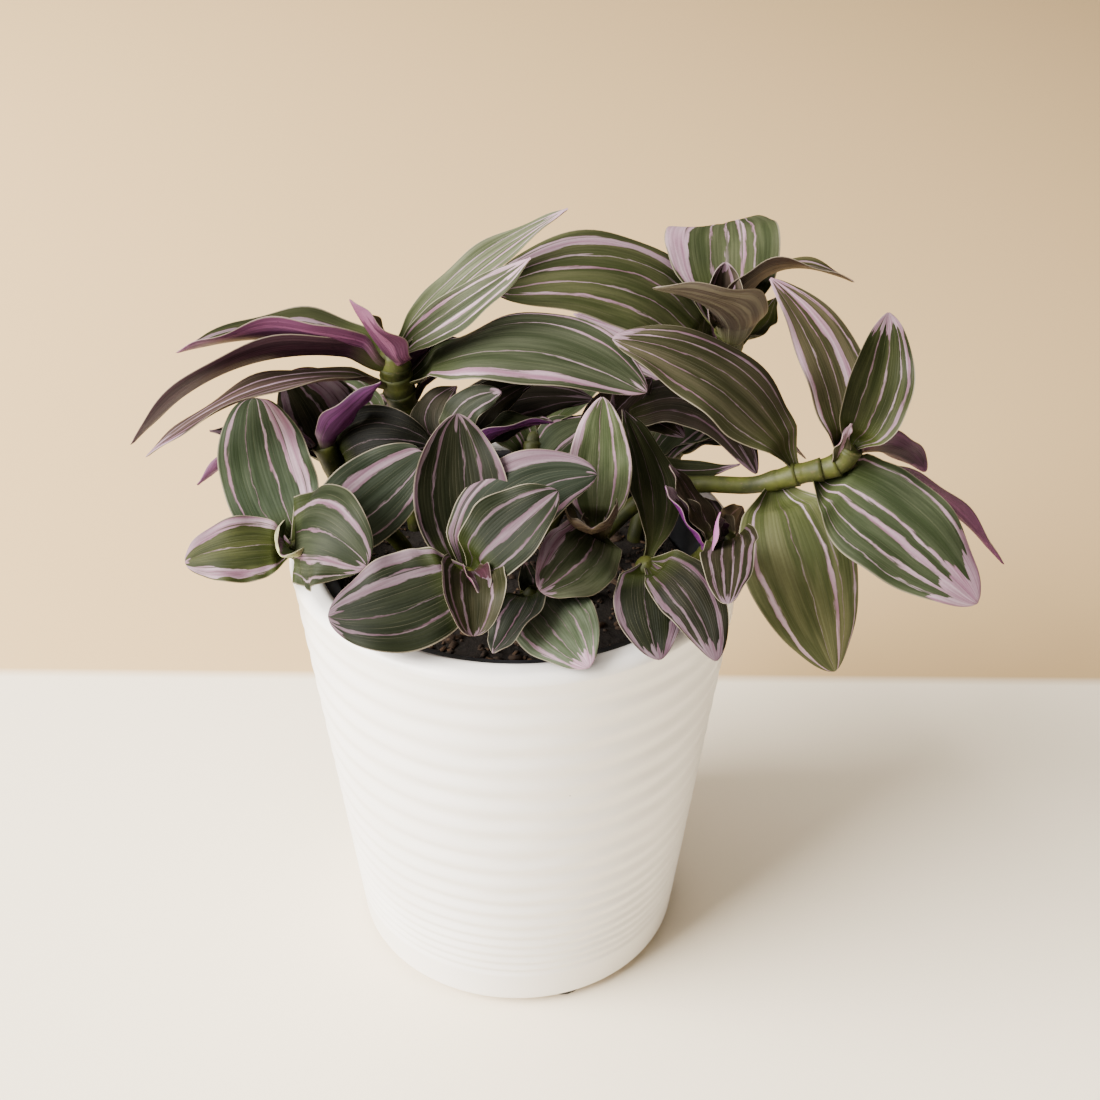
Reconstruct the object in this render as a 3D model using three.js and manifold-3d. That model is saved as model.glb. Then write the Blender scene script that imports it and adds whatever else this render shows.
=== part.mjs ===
// A potted tradescantia: a ribbed white ceramic cover pot on three rubber feet, the dark nursery
// pot that stands in it, the soil, and fifteen leafy stems. Each stem and its leaves are one solid.
// Millimetres, +Z up. The plant is laid out around the pot's axis with the table at z = 0, and the
// whole group is then shifted sideways so that the origin is the middle of its footprint.
import * as THREE from "three";
import { mergeVertices } from "three/addons/utils/BufferGeometryUtils.js";
import Module from "manifold-3d";

const wasm = await Module();
wasm.setup();

// ---------- driving dimensions ----------
const GAP = 0.3; // between pieces that touch

const POT_HEIGHT = 151; // table to the top of the lip
const POT_TOP_R = 70; // outside, under the lip
const POT_BASE_R = 54.3; // outside, at the foot
const POT_FLOOR = 7; // thickness of the pot's floor
const POT_WALL = 8; // wall under the lip
const LIP_R = 3.4; // rounding of the lip
const POT_SIDES = 24;

const RIB_TOP_Z = 141.8; // crest of the highest rib
const RIB_LOW_Z = 13; // no rib below this
const RIB_PITCH_LOW = 3.2; // crest to crest at the foot
const RIB_PITCH_HIGH = 9.1; // crest to crest in the upper half
const RIB_RELIEF = 0.7; // crest over valley

const FOOT_HEIGHT = 2;
const FOOT_R = 7;
const FOOT_CIRCLE_R = 45.5; // feet's centres, from the pot's axis
const FOOT_ANGLES = [-70, 50, 170]; // degrees from +X

const LINER_RIM_R = 60.4; // outside of the nursery pot's rim
const LINER_RIM_Z = 147.5; // top of the rim
const LINER_RIM_H = 7; // the rim's turned-down band
const LINER_BASE_R = 41;
const LINER_WALL = 1.4;
const LINER_FLOOR = 2;
const DRAIN_R = 4; // drain holes in the liner's floor
const DRAIN_CIRCLE_R = 26;
const DRAIN_COUNT = 6;

const SOIL_Z = 136; // soil at the liner's wall
const SOIL_DOME = 1.6; // higher in the middle
const SOIL_SIDES = 24;

const ROOT_Z = 116; // lower end of every stem, in its hole in the soil
const STEM_R = { thick: 3.8, middle: 3, thin: 2.6 }; // the tall shoot's, the next one's, all others'
const STEM_SIDES = 6;
const NODE_SWELL = 0.28; // how much thicker a stem is where a leaf leaves it
const NODE_REACH = 4; // how far along the stem that swelling fades
const HOLE_CLEARANCE = 0.6; // hole in the soil round a stem

const BLADE_THICKNESS = 0.8;
const SHEATH_WIDTH = 5; // width of a leaf's foot, which clasps the stem
const FLAT = 0.01; // radians of curl across a flat blade
const SHORT_BLADE = 58; // a shorter leaf is divided less finely
const ROLLED_CUP = 112; // a blade curled by more degrees than this keeps all its columns
const BLADE_ROWS = { many: 6, few: 5 };
const BLADE_COLUMNS = { many: 4, few: 2 };

// ---------- small helpers ----------
const radians = THREE.MathUtils.degToRad;
const { smoothstep, lerp, clamp } = THREE.MathUtils;
const vec = (x, y, z) => new THREE.Vector3(x, y, z);

function solidOf(geometry) {
  const bare = geometry.clone();
  bare.deleteAttribute("normal");
  bare.deleteAttribute("uv");
  const merged = mergeVertices(bare, 1e-4);
  const mesh = new wasm.Mesh({
    numProp: 3,
    vertProperties: merged.attributes.position.array,
    triVerts: new Uint32Array(merged.index.array),
  });
  return new wasm.Manifold(mesh);
}

function geometryOf(solid) {
  const mesh = solid.getMesh();
  const geometry = new THREE.BufferGeometry();
  geometry.setAttribute("position", new THREE.BufferAttribute(mesh.vertProperties, 3));
  geometry.setIndex(new THREE.BufferAttribute(mesh.triVerts, 1));
  return geometry;
}

function finish(color, roughness) {
  return new THREE.MeshStandardMaterial({ color, roughness, metalness: 0 });
}

function piece(name, geometry, material) {
  const mesh = new THREE.Mesh(geometry, material);
  mesh.name = name;
  return mesh;
}

// A closed surface from rings of points: each ring joins the next, and both ends are capped by a fan.
function loft(rings, startCap, endCap) {
  const sides = rings[0].length;
  const points = [...rings.flat(), startCap, endCap];
  const start = points.length - 2;
  const end = points.length - 1;
  const last = (rings.length - 1) * sides;
  const faces = [];
  for (let j = 0; j < sides; j++) {
    const k = (j + 1) % sides;
    for (let i = 0; i < last; i += sides) {
      faces.push(i + j, i + k, i + sides + k, i + j, i + sides + k, i + sides + j);
    }
    faces.push(start, k, j, end, last + j, last + k);
  }
  return new THREE.BufferGeometry().setFromPoints(points).setIndex(faces);
}

// A lathe's profile is drawn in (radius, height); three.js turns it about Y, so it is stood up on Z.
function turned(profile, sides) {
  return new THREE.LatheGeometry(profile, sides).rotateX(Math.PI / 2);
}

// ---------- the fifteen shoots ----------
// root: where the stem leaves the soil; points: the nodes it passes; at: a leaf's place on the stem,
// counted in nodes from the buried end; arch and sway: how far the rib's middle stands off the
// straight line from foot to tip; cup: the arc across the blade, edges up if positive; foot and
// blunt: how pointed its two ends are; belly: below 1 the widest place lies nearer the stem.
const SHOOTS = {
  crown_left: {
    radius: STEM_R.thick,
    root: [-22, 26, 138],
    points: [[-29, 18, 168], [-34, 15, 187], [-36, 12, 201], [-36, 12, 210]],
    leaves: [
      { at: 4.4, heading: -177, rise: 4, length: 64, width: 35, arch: 6,
        roll: 20, cup: 105, cupTip: 70, belly: 0.8 },
      { at: 4.3, heading: -168, rise: -13, length: 81, width: 21, arch: 12, sway: -8, roll: 35,
        cup: 95, cupTip: 60, blunt: 0.8, belly: 0.75 },
      { at: 3.7, heading: -155, rise: -5, length: 77, width: 17, arch: 11,
        sway: -3, roll: 10, cup: 50, belly: 0.8 },
      { at: 4.4, heading: -138, rise: 60, length: 29, width: 21, arch: -1, sway: -3, roll: -10,
        cup: 130, cupTip: 70, clasp: 220, blunt: 0.75 },
      { at: 4.8, heading: -3, rise: 38, length: 51, width: 13, arch: -2, roll: 50, cup: 70, cupTip: 30 },
      { at: 4.9, heading: 25, rise: 32, length: 66, width: 13, arch: 0, sway: -4, roll: 20, cup: 60 },
      { at: 3.7, heading: -10, rise: 4, length: 75, width: 31, arch: 14, sway: -4, roll: 5,
        twist: 35, cup: -40, cupTip: -20, blunt: 0.6, foot: 1.1 },
      { at: 3.1, heading: 13, rise: 7, length: 49, width: 14, arch: 10, sway: 1, roll: -20, cup: 60 },
      { at: 3.5, heading: 29, rise: 14, length: 27, width: 13, arch: 6,
        sway: 3, roll: -55, cup: 80, foot: 0.6 },
    ],
  },
  crown_right: {
    radius: STEM_R.middle,
    root: [24, 36, 138],
    points: [[31, 42, 147], [55, 42, 177], [65, 31, 200], [63, 28, 211]],
    leaves: [
      { at: 3.7, heading: -175, rise: 21, length: 76, width: 36, arch: 13, sway: 11,
        roll: -30, cup: -45, cupTip: -30, blunt: 0.5 },
      { at: 4.8, heading: 86, rise: 8, length: 56, width: 36, arch: 15, sway: -4, roll: 5,
        twist: -25, cup: 30, cupTip: -20, blunt: 0.5 },
      { at: 4.4, heading: -131, rise: 37, length: 51, width: 26, arch: 2, sway: -8,
        roll: 15, cup: 115, cupTip: 60, blunt: 0.7 },
      { at: 4.6, heading: -18, rise: 32, length: 42, width: 22, arch: 12,
        sway: 2, roll: -20, cup: 70, cupTip: 50 },
      { at: 4.2, heading: 52, rise: 15, length: 26, width: 17, arch: -3, sway: -1, roll: -15, cup: 50 },
      { at: 5, heading: -117, rise: 79, length: 22, width: 18, arch: 1, sway: -1, roll: -150,
        cup: 200, cupTip: 120, clasp: 200, blunt: 0.6 },
      { at: 3.1, heading: 148, rise: 19, length: 49, width: 17, arch: -4,
        sway: 5, roll: -30, cup: -20, foot: 1.2 },
    ],
  },
  crown_far_right: {
    radius: STEM_R.thin,
    root: [20, 6, 138],
    points: [
      [41, 2, 167], [55, 0, 171], [69, -2, 172], [76, -3, 174],
      [84, -5, 178], [95, -6, 182], [99, -6, 189],
    ],
    leaves: [
      { at: 6, heading: 169, rise: 34, length: 69, width: 27, arch: 7, sway: 7, roll: -30,
        cup: -40, cupTip: -30, blunt: 0.6, foot: 1.5 },
      { at: 5.2, heading: -59, rise: -53, length: 60, width: 34, arch: 12, sway: 2, roll: 25,
        cup: -25, cupTip: -20, blunt: 0.62, foot: 0.85, belly: 0.72 },
      { at: 6.4, heading: -31, rise: -27, length: 61, width: 36, arch: 5, sway: -1, roll: 25,
        cup: -25, cupTip: -20, blunt: 0.6, foot: 0.8 },
      { at: 7.3, heading: 147, rise: 60, length: 58, width: 20, arch: 3,
        sway: 6, roll: -35, cup: 40, blunt: 0.75 },
      { at: 7.8, heading: 52, rise: 72, length: 41, width: 22, arch: 3, sway: 2,
        roll: 35, cup: 105, cupTip: 60, blunt: 0.65 },
      { at: 7.2, heading: 36, rise: -24, length: 42, width: 18, arch: 5,
        roll: -35, cup: 110, cupTip: 90, blunt: 0.6 },
      { at: 7, heading: 8, rise: -35, length: 71, width: 13, arch: 9, sway: -2, roll: -40, cup: 40 },
      { at: 6.9, heading: -36, rise: 77, length: 16, width: 5, arch: 1, sway: -1, roll: 145, cup: 60 },
    ],
  },
  shoot_mid_right: {
    radius: STEM_R.thin,
    root: [10, 24, 138],
    points: [[18, 24, 157], [26, 24, 176]],
    leaves: [
      { at: 3, heading: -23, rise: -4, length: 51, width: 20, arch: 14,
        sway: -10, roll: 20, cup: -30, blunt: 0.6 },
      { at: 2.8, heading: -16, rise: -1, length: 46, width: 9, arch: -2, sway: 5, roll: 20, cup: 70 },
      { at: 2.6, heading: 6, rise: 53, length: 31, width: 17, arch: 2,
        sway: -2, roll: 70, cup: 20, blunt: 0.7 },
      { at: 2.7, heading: -8, rise: 11, length: 29, width: 14, arch: 5,
        sway: -7, roll: 30, cup: -20, blunt: 0.6 },
    ],
  },
  rosette_left: {
    radius: STEM_R.thin,
    root: [-36, -6, 138],
    points: [[-52, -12, 152], [-61, -15, 157], [-66, -22, 161]],
    leaves: [
      { at: 3.6, heading: 119, rise: 55, length: 46, width: 29, arch: -1, sway: -3,
        roll: -30, cup: 20, blunt: 0.4, belly: 0.95 },
      { at: 3, heading: 8, rise: 41, length: 46, width: 25, arch: 1,
        roll: 60, cup: 15, blunt: 0.42, belly: 0.95 },
      { at: 4, heading: -39, rise: 14, length: 33, width: 33, arch: 7, sway: -5,
        roll: 50, cup: -55, cupTip: -30, blunt: 0.5 },
      { at: 4, heading: -173, rise: -5, length: 31, width: 20, arch: 4,
        sway: 1, roll: -45, cup: 10, blunt: 0.55 },
      { at: 4, heading: -90, rise: 27, length: 16, width: 21, arch: 0, roll: -30,
        cup: 220, cupTip: 170, clasp: 200, blunt: 0.6 },
    ],
  },
  shoot_left_back: {
    radius: STEM_R.thin,
    root: [-36, 12, 138],
    points: [[-52, 6, 161], [-56, 2, 177], [-58, 2, 184]],
    leaves: [
      { at: 3.1, heading: 136, rise: 48, length: 28, width: 27, arch: -4,
        sway: 3, roll: -30, cup: 20, blunt: 0.5 },
      { at: 3.6, heading: -27, rise: 52, length: 35, width: 13, arch: -1,
        sway: 3, roll: -30, cup: 100, cupTip: 90 },
      { at: 2.9, heading: -11, rise: 18, length: 33, width: 20, arch: 5,
        sway: -5, roll: 55, cup: -20, blunt: 0.6 },
      { at: 3.6, heading: 167, rise: 1, length: 37, width: 10, arch: -6, sway: 4, roll: -30, cup: 60 },
      { at: 3.2, heading: 180, rise: -15, length: 42, width: 10, arch: 10, sway: -1, roll: 70, cup: 60 },
    ],
  },
  shoot_centre: {
    radius: STEM_R.thin,
    root: [-10, 4, 138],
    points: [[-12, 3, 148], [-16, 1, 175], [-21, 0, 186]],
    leaves: [
      { at: 4, heading: -7, rise: 45, length: 24, width: 11, arch: 1,
        sway: -3, roll: 55, cup: 10, blunt: 0.6 },
      { at: 3, heading: -2, rise: 32, length: 32, width: 17, arch: 5, sway: 2,
        roll: -15, cup: 110, cupTip: 90, blunt: 0.65 },
      { at: 3.7, heading: 84, rise: 43, length: 19, width: 16, arch: 2, sway: -5, roll: -10, cup: 20 },
      { at: 3.2, heading: 40, rise: 29, length: 34, width: 14, arch: 1, sway: -6, roll: 35, cup: 20 },
      { at: 3.3, heading: 40, rise: 1, length: 54, width: 24, arch: 0,
        sway: -12, roll: 20, cup: -20, blunt: 0.7 },
    ],
  },
  rosette_front: {
    radius: STEM_R.thin,
    root: [-2, -26, 138],
    points: [[-4, -30, 149], [-10, -40, 159], [-12, -47, 171]],
    leaves: [
      { at: 3.6, heading: 100, rise: 55, length: 47, width: 29, arch: -2, sway: -1, roll: -5,
        cup: 75, cupTip: 70, blunt: 0.6, belly: 0.95 },
      { at: 3.8, heading: 24, rise: 32, length: 45, width: 26, arch: 2,
        sway: -9, roll: 35, cup: -20, blunt: 0.55 },
      { at: 4, heading: 12, rise: 43, length: 34, width: 23, arch: 3, roll: 35, cup: 45, blunt: 0.6 },
      { at: 4, heading: -167, rise: -13, length: 41, width: 29, arch: 3, sway: -3,
        roll: -40, cup: -25, blunt: 0.55, belly: 0.85 },
      { at: 4, heading: -85, rise: -12, length: 24, width: 22, arch: 5, sway: 1,
        roll: -10, cup: 130, cupTip: 100, blunt: 0.45 },
      { at: 4, heading: -72, rise: 4, length: 16, width: 10, arch: 2,
        roll: -5, cup: 170, cupTip: 110, clasp: 170 },
    ],
  },
  rosette_front_low: {
    radius: STEM_R.thin,
    root: [8, -24, 138],
    points: [[5, -34, 150], [5, -42, 162]],
    leaves: [
      { at: 2.9, heading: -110, rise: -4, length: 29, width: 18, arch: 1,
        sway: -2, roll: 20, cup: 70, blunt: 0.7 },
      { at: 2.7, heading: -60, rise: -8, length: 33, width: 24, arch: 3, roll: 20, cup: -20, blunt: 0.6 },
      { at: 3, heading: -135, rise: 76, length: 11, width: 8, arch: 1,
        roll: -125, cup: 140, cupTip: 90, clasp: 140 },
    ],
  },
  rosette_mid: {
    radius: STEM_R.thin,
    root: [20, -12, 138],
    points: [[24, -16, 154], [24, -25, 171]],
    leaves: [
      { at: 3, heading: 87, rise: 63, length: 38, width: 19, arch: -2, roll: 5, cup: 40, blunt: 0.6 },
      { at: 3, heading: -121, rise: -5, length: 32, width: 23, arch: 2,
        sway: -2, roll: -25, cup: -30, blunt: 0.55 },
      { at: 3, heading: -98, rise: 33, length: 18, width: 27, arch: -1, sway: 1, roll: 5,
        cup: 210, cupTip: 150, clasp: 170, blunt: 0.65 },
      { at: 3, heading: -99, rise: 33, length: 15, width: 12, arch: -1, sway: 1, roll: -5,
        cup: 220, cupTip: 120, clasp: 200, blunt: 0.65 },
      { at: 2.9, heading: 83, rise: 30, length: 47, width: 11, arch: -10, sway: 2, roll: 10, cup: 20 },
    ],
  },
  rosette_right: {
    radius: STEM_R.thin,
    root: [36, -14, 138],
    points: [[37, -24, 149], [38, -36, 167]],
    leaves: [
      { at: 2.9, heading: 98, rise: 30, length: 52, width: 19, arch: 0, sway: 6, roll: 25,
        cup: 60, blunt: 0.8, foot: 1.6, belly: 0.95 },
      { at: 3, heading: -84, rise: -26, length: 31, width: 20, arch: 2,
        sway: 1, roll: 10, cup: -20, blunt: 0.6 },
      { at: 3, heading: -59, rise: -19, length: 37, width: 18, arch: 5,
        sway: -4, roll: 25, cup: -25, blunt: 0.6 },
    ],
  },
  rosette_far_right: {
    radius: STEM_R.thin,
    root: [43, -8, 138],
    points: [[50, -16, 150], [62, -28, 170]],
    leaves: [
      { at: 3, heading: -96, rise: 11, length: 45, width: 17, arch: 4, sway: -2,
        roll: 25, cup: 45, cupTip: 30, blunt: 0.45 },
      { at: 2.9, heading: -104, rise: 52, length: 25, width: 13, arch: -1, sway: -4, roll: -95, cup: 70 },
      { at: 2.6, heading: 152, rise: 51, length: 24, width: 13, arch: 0, roll: 10, cup: 110 },
      { at: 2.7, heading: 131, rise: 44, length: 28, width: 13, arch: -1, sway: 3, roll: 20, cup: 40 },
      { at: 2.8, heading: 74, rise: -16, length: 43, width: 14, arch: 0,
        sway: 1, roll: 50, cup: 20, blunt: 0.7 },
      { at: 2.8, heading: 93, rise: -8, length: 34, width: 15, arch: 1,
        sway: -1, roll: 10, cup: 20, blunt: 0.6 },
    ],
  },
  shoot_back_left: {
    radius: STEM_R.thin,
    root: [-34, 28, 138],
    points: [[-37, 37, 153], [-46, 52, 160]],
    leaves: [
      { at: 1.3, heading: 150, rise: 25, length: 40, width: 22, arch: 9, cup: 40 },
      { at: 1.7, heading: 100, rise: 10, length: 44, width: 22, arch: 9, cup: 40 },
      { at: 2.5, heading: 175, rise: 0, length: 46, width: 24, arch: 10, cup: 40 },
      { at: 2.8, heading: 110, rise: -20, length: 48, width: 24, arch: 9, cup: 40 },
      { at: 3, heading: 145, rise: 15, length: 32, width: 16, arch: 5, cup: 90 },
    ],
  },
  shoot_back: {
    radius: STEM_R.thin,
    root: [2, 38, 138],
    points: [[4, 50, 153], [4, 62, 156]],
    leaves: [
      { at: 1.3, heading: 30, rise: 25, length: 40, width: 22, arch: 8, cup: 40 },
      { at: 1.7, heading: 140, rise: 15, length: 40, width: 22, arch: 9, cup: 40 },
      { at: 2.3, heading: 60, rise: -5, length: 48, width: 24, arch: 10, cup: 40 },
      { at: 2.7, heading: 115, rise: -20, length: 48, width: 24, arch: 9, cup: 40 },
      { at: 3, heading: 85, rise: 5, length: 30, width: 14, arch: 4, cup: 90 },
    ],
  },
  shoot_back_right: {
    radius: STEM_R.thin,
    root: [38, 22, 138],
    points: [[44, 32, 154], [54, 44, 161]],
    leaves: [
      { at: 1.6, heading: 15, rise: 42, length: 42, width: 20, arch: 9, cup: 40 },
      { at: 2.2, heading: -20, rise: 25, length: 40, width: 18, arch: 9, cup: 40 },
      { at: 3, heading: 60, rise: 0, length: 46, width: 22, arch: 10, cup: 40 },
      { at: 2.7, heading: 15, rise: -12, length: 48, width: 24, arch: 9, cup: 40 },
      { at: 3, heading: 40, rise: 15, length: 32, width: 14, arch: 4, cup: 90 },
    ],
  },
};

// ---------- the pot ----------
const potRadius = (z) => lerp(POT_BASE_R, POT_TOP_R, z / POT_HEIGHT);
const potInside = (z) => potRadius(z) - POT_WALL;
const ribPitch = (z) => lerp(RIB_PITCH_LOW, RIB_PITCH_HIGH, smoothstep(z, 5, 95));

// Crests and valleys of the ribs, from the foot up.
function ribProfile() {
  const crests = [];
  for (let z = RIB_TOP_Z; z > RIB_LOW_Z; z -= ribPitch(z)) crests.unshift(z);
  return crests.flatMap((z) => {
    const valley = z - ribPitch(z) / 2;
    return [
      new THREE.Vector2(potRadius(valley) - RIB_RELIEF, valley),
      new THREE.Vector2(potRadius(z), z),
    ];
  });
}

function coverPot() {
  const under = FOOT_HEIGHT + GAP;
  const floor = under + POT_FLOOR;
  const lipOuter = potRadius(POT_HEIGHT) - LIP_R;
  const lipInner = LINER_RIM_R + GAP + LIP_R;
  const profile = [
    new THREE.Vector2(0, under),
    new THREE.Vector2(POT_BASE_R - 2.5, under),
    new THREE.Vector2(potRadius(under + 2.5), under + 2.5),
    ...ribProfile(),
    new THREE.Vector2(potRadius(POT_HEIGHT) - 0.2, POT_HEIGHT - LIP_R),
    new THREE.Vector2(lipOuter + LIP_R * 0.7, POT_HEIGHT - LIP_R * 0.3),
    new THREE.Vector2(lipOuter, POT_HEIGHT),
    new THREE.Vector2(lipInner, POT_HEIGHT),
    new THREE.Vector2(lipInner - LIP_R * 0.7, POT_HEIGHT - LIP_R * 0.3),
    new THREE.Vector2(LINER_RIM_R + GAP, POT_HEIGHT - LIP_R),
    new THREE.Vector2(LINER_RIM_R + GAP, LINER_RIM_Z - LINER_RIM_H - 1),
    new THREE.Vector2(potInside(floor + 6), floor + 6),
    new THREE.Vector2(potInside(floor) - 4, floor),
    new THREE.Vector2(0, floor),
  ];
  return piece("cover_pot", turned(profile, POT_SIDES), finish(0xf1eee9, 0.38));
}

function foot(index) {
  const angle = radians(FOOT_ANGLES[index]);
  const pad = new THREE.CylinderGeometry(FOOT_R, FOOT_R, FOOT_HEIGHT, 20).rotateX(Math.PI / 2);
  const mesh = piece(`foot_pad_${index + 1}`, pad, finish(0x1d1c1b, 0.8));
  mesh.position.set(
    FOOT_CIRCLE_R * Math.cos(angle),
    FOOT_CIRCLE_R * Math.sin(angle),
    FOOT_HEIGHT / 2,
  );
  return mesh;
}

// The nursery pot: a thin tapered tub with a turned-down rim and drain holes.
const linerFloorZ = FOOT_HEIGHT + GAP + POT_FLOOR + GAP;
function linerRadius(z) {
  const top = LINER_RIM_R - 2.6;
  return lerp(LINER_BASE_R, top, (z - linerFloorZ) / (LINER_RIM_Z - linerFloorZ));
}

function nurseryPot() {
  const skirtZ = LINER_RIM_Z - LINER_RIM_H;
  const topInside = linerRadius(LINER_RIM_Z) - LINER_WALL;
  const profile = [
    new THREE.Vector2(0, linerFloorZ),
    new THREE.Vector2(LINER_BASE_R, linerFloorZ),
    new THREE.Vector2(linerRadius(skirtZ), skirtZ),
    new THREE.Vector2(LINER_RIM_R, skirtZ),
    new THREE.Vector2(LINER_RIM_R, LINER_RIM_Z - 0.8),
    new THREE.Vector2(LINER_RIM_R - 0.8, LINER_RIM_Z),
    new THREE.Vector2(topInside, LINER_RIM_Z),
    new THREE.Vector2(LINER_BASE_R - LINER_WALL, linerFloorZ + LINER_FLOOR),
    new THREE.Vector2(0, linerFloorZ + LINER_FLOOR),
  ];
  let tub = solidOf(turned(profile, POT_SIDES));
  for (let i = 0; i < DRAIN_COUNT; i++) {
    const angle = (i / DRAIN_COUNT) * 2 * Math.PI;
    const drill = new THREE.CylinderGeometry(DRAIN_R, DRAIN_R, 4 * LINER_FLOOR, 10)
      .rotateX(Math.PI / 2)
      .translate(DRAIN_CIRCLE_R * Math.cos(angle), DRAIN_CIRCLE_R * Math.sin(angle), linerFloorZ);
    tub = tub.subtract(solidOf(drill));
  }
  return piece("nursery_pot", geometryOf(tub), finish(0x232425, 0.55));
}

// The soil fills the nursery pot and has a plain round hole for each stem.
function soil(shoots) {
  const bottom = linerFloorZ + LINER_FLOOR + GAP;
  const wall = (z) => linerRadius(z) - LINER_WALL - GAP - 0.2;
  const profile = [
    new THREE.Vector2(0, bottom),
    new THREE.Vector2(wall(bottom), bottom),
    new THREE.Vector2(wall(SOIL_Z), SOIL_Z),
    new THREE.Vector2(wall(SOIL_Z) * 0.6, SOIL_Z + SOIL_DOME * 0.8),
    new THREE.Vector2(0, SOIL_Z + SOIL_DOME),
  ];
  let body = solidOf(turned(profile, SOIL_SIDES));
  for (const { radius, root } of Object.values(shoots)) {
    const depth = SOIL_Z - ROOT_Z + 8;
    const bore = radius + HOLE_CLEARANCE;
    const drill = new THREE.CylinderGeometry(bore, bore, depth, 10)
      .rotateX(Math.PI / 2)
      .translate(root[0], root[1], ROOT_Z - GAP + depth / 2);
    body = body.subtract(solidOf(drill));
  }
  return piece("soil", geometryOf(body), finish(0x2a211b, 0.95));
}

// ---------- leaves ----------
// Directions of a leaf: it points along heading (degrees from +X) and rise (degrees above level).
// At roll 0 its upper face looks up, and a positive roll turns that face to the right.
function leafAxes({ heading, rise, roll = 0 }) {
  const [h, r, turn] = [heading, rise, roll].map(radians);
  const along = vec(Math.cos(r) * Math.cos(h), Math.cos(r) * Math.sin(h), Math.sin(r));
  const up = vec(-Math.sin(r) * Math.cos(h), -Math.sin(r) * Math.sin(h), Math.cos(r));
  const side = along.clone().cross(up);
  up.applyAxisAngle(along, turn);
  side.applyAxisAngle(along, turn);
  return { along, up, side };
}

// Width of the blade at t, from 0 at the stem to 1 at the tip. It is widest where t ** belly is a half.
// Below there foot gives its taper and beyond there blunt does: the larger, the more pointed.
function bladeWidth({ width, belly = 0.8, blunt = 0.85, foot = blunt }, t) {
  const place = t ** belly;
  const oval = t > 0 ? Math.max(Math.sin(Math.PI * place), 0) ** (place < 0.5 ? foot : blunt) : 0;
  const sheath = Math.min(SHEATH_WIDTH / width, 0.7) * Math.max(1 - t / 0.3, 0) ** 1.3;
  return Math.max(width * Math.hypot(oval, sheath), BLADE_THICKNESS);
}

// How far the blade is curled across, in degrees of arc: it clasps the stem at its foot.
// A narrow part isn't rolled tighter than its own thickness allows.
function bladeCurl({ cup, cupTip = 0.6 * cup, clasp = 170 }, t, width) {
  const opened = lerp(clasp, cup, smoothstep(t, 0, 0.25));
  const curl = radians(opened + (cupTip - cup) * smoothstep(t, 0.4, 1));
  const tightest = width / (1.5 * BLADE_THICKNESS);
  return Math.abs(curl) < FLAT ? FLAT : clamp(curl, -tightest, tightest);
}

// Points of the blade's middle surface: rows from the stem to the tip, columns from edge to edge.
function bladeSurface(leaf, start, rows, columns) {
  const { along, up, side } = leafAxes(leaf);
  const { length, arch = 0, sway = 0, twist = 0, wave = 0.8, phase = 0 } = leaf;
  const tip = start.clone().addScaledVector(along, length);
  const bend = start.clone().lerp(tip, 0.5).addScaledVector(up, 2 * arch);
  bend.addScaledVector(side, 2 * sway);
  const rib = new THREE.QuadraticBezierCurve3(start, bend, tip);
  return Array.from({ length: rows + 1 }, (_, i) => {
    const t = i / rows;
    const centre = rib.getPoint(t);
    const tangent = rib.getTangent(t);
    const turn = radians(twist) * smoothstep(t, 0.2, 1);
    const normal = up.clone().multiplyScalar(Math.cos(turn)).addScaledVector(side, Math.sin(turn));
    normal.addScaledVector(tangent, -normal.dot(tangent)).normalize();
    const across = tangent.clone().cross(normal);
    const spread = bladeWidth(leaf, t);
    const curl = bladeCurl(leaf, t, spread);
    const radius = spread / curl;
    const drop = radius * (1 - smoothstep(t, 0, 0.16)); // the foot lies round the stem
    const ripple = wave * smoothstep(t, 0.1, 0.4) * (1 - smoothstep(t, 0.85, 1));
    return Array.from({ length: columns + 1 }, (_, j) => {
      const s = (2 * j) / columns - 1;
      const angle = (s * curl) / 2;
      const lift = ripple * s * s * Math.sin(5 * Math.PI * t + phase + 0.9 * Math.sign(s));
      return centre.clone()
        .addScaledVector(across, radius * Math.sin(angle))
        .addScaledVector(normal, radius * (1 - Math.cos(angle)) - drop + lift);
    });
  });
}

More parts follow.
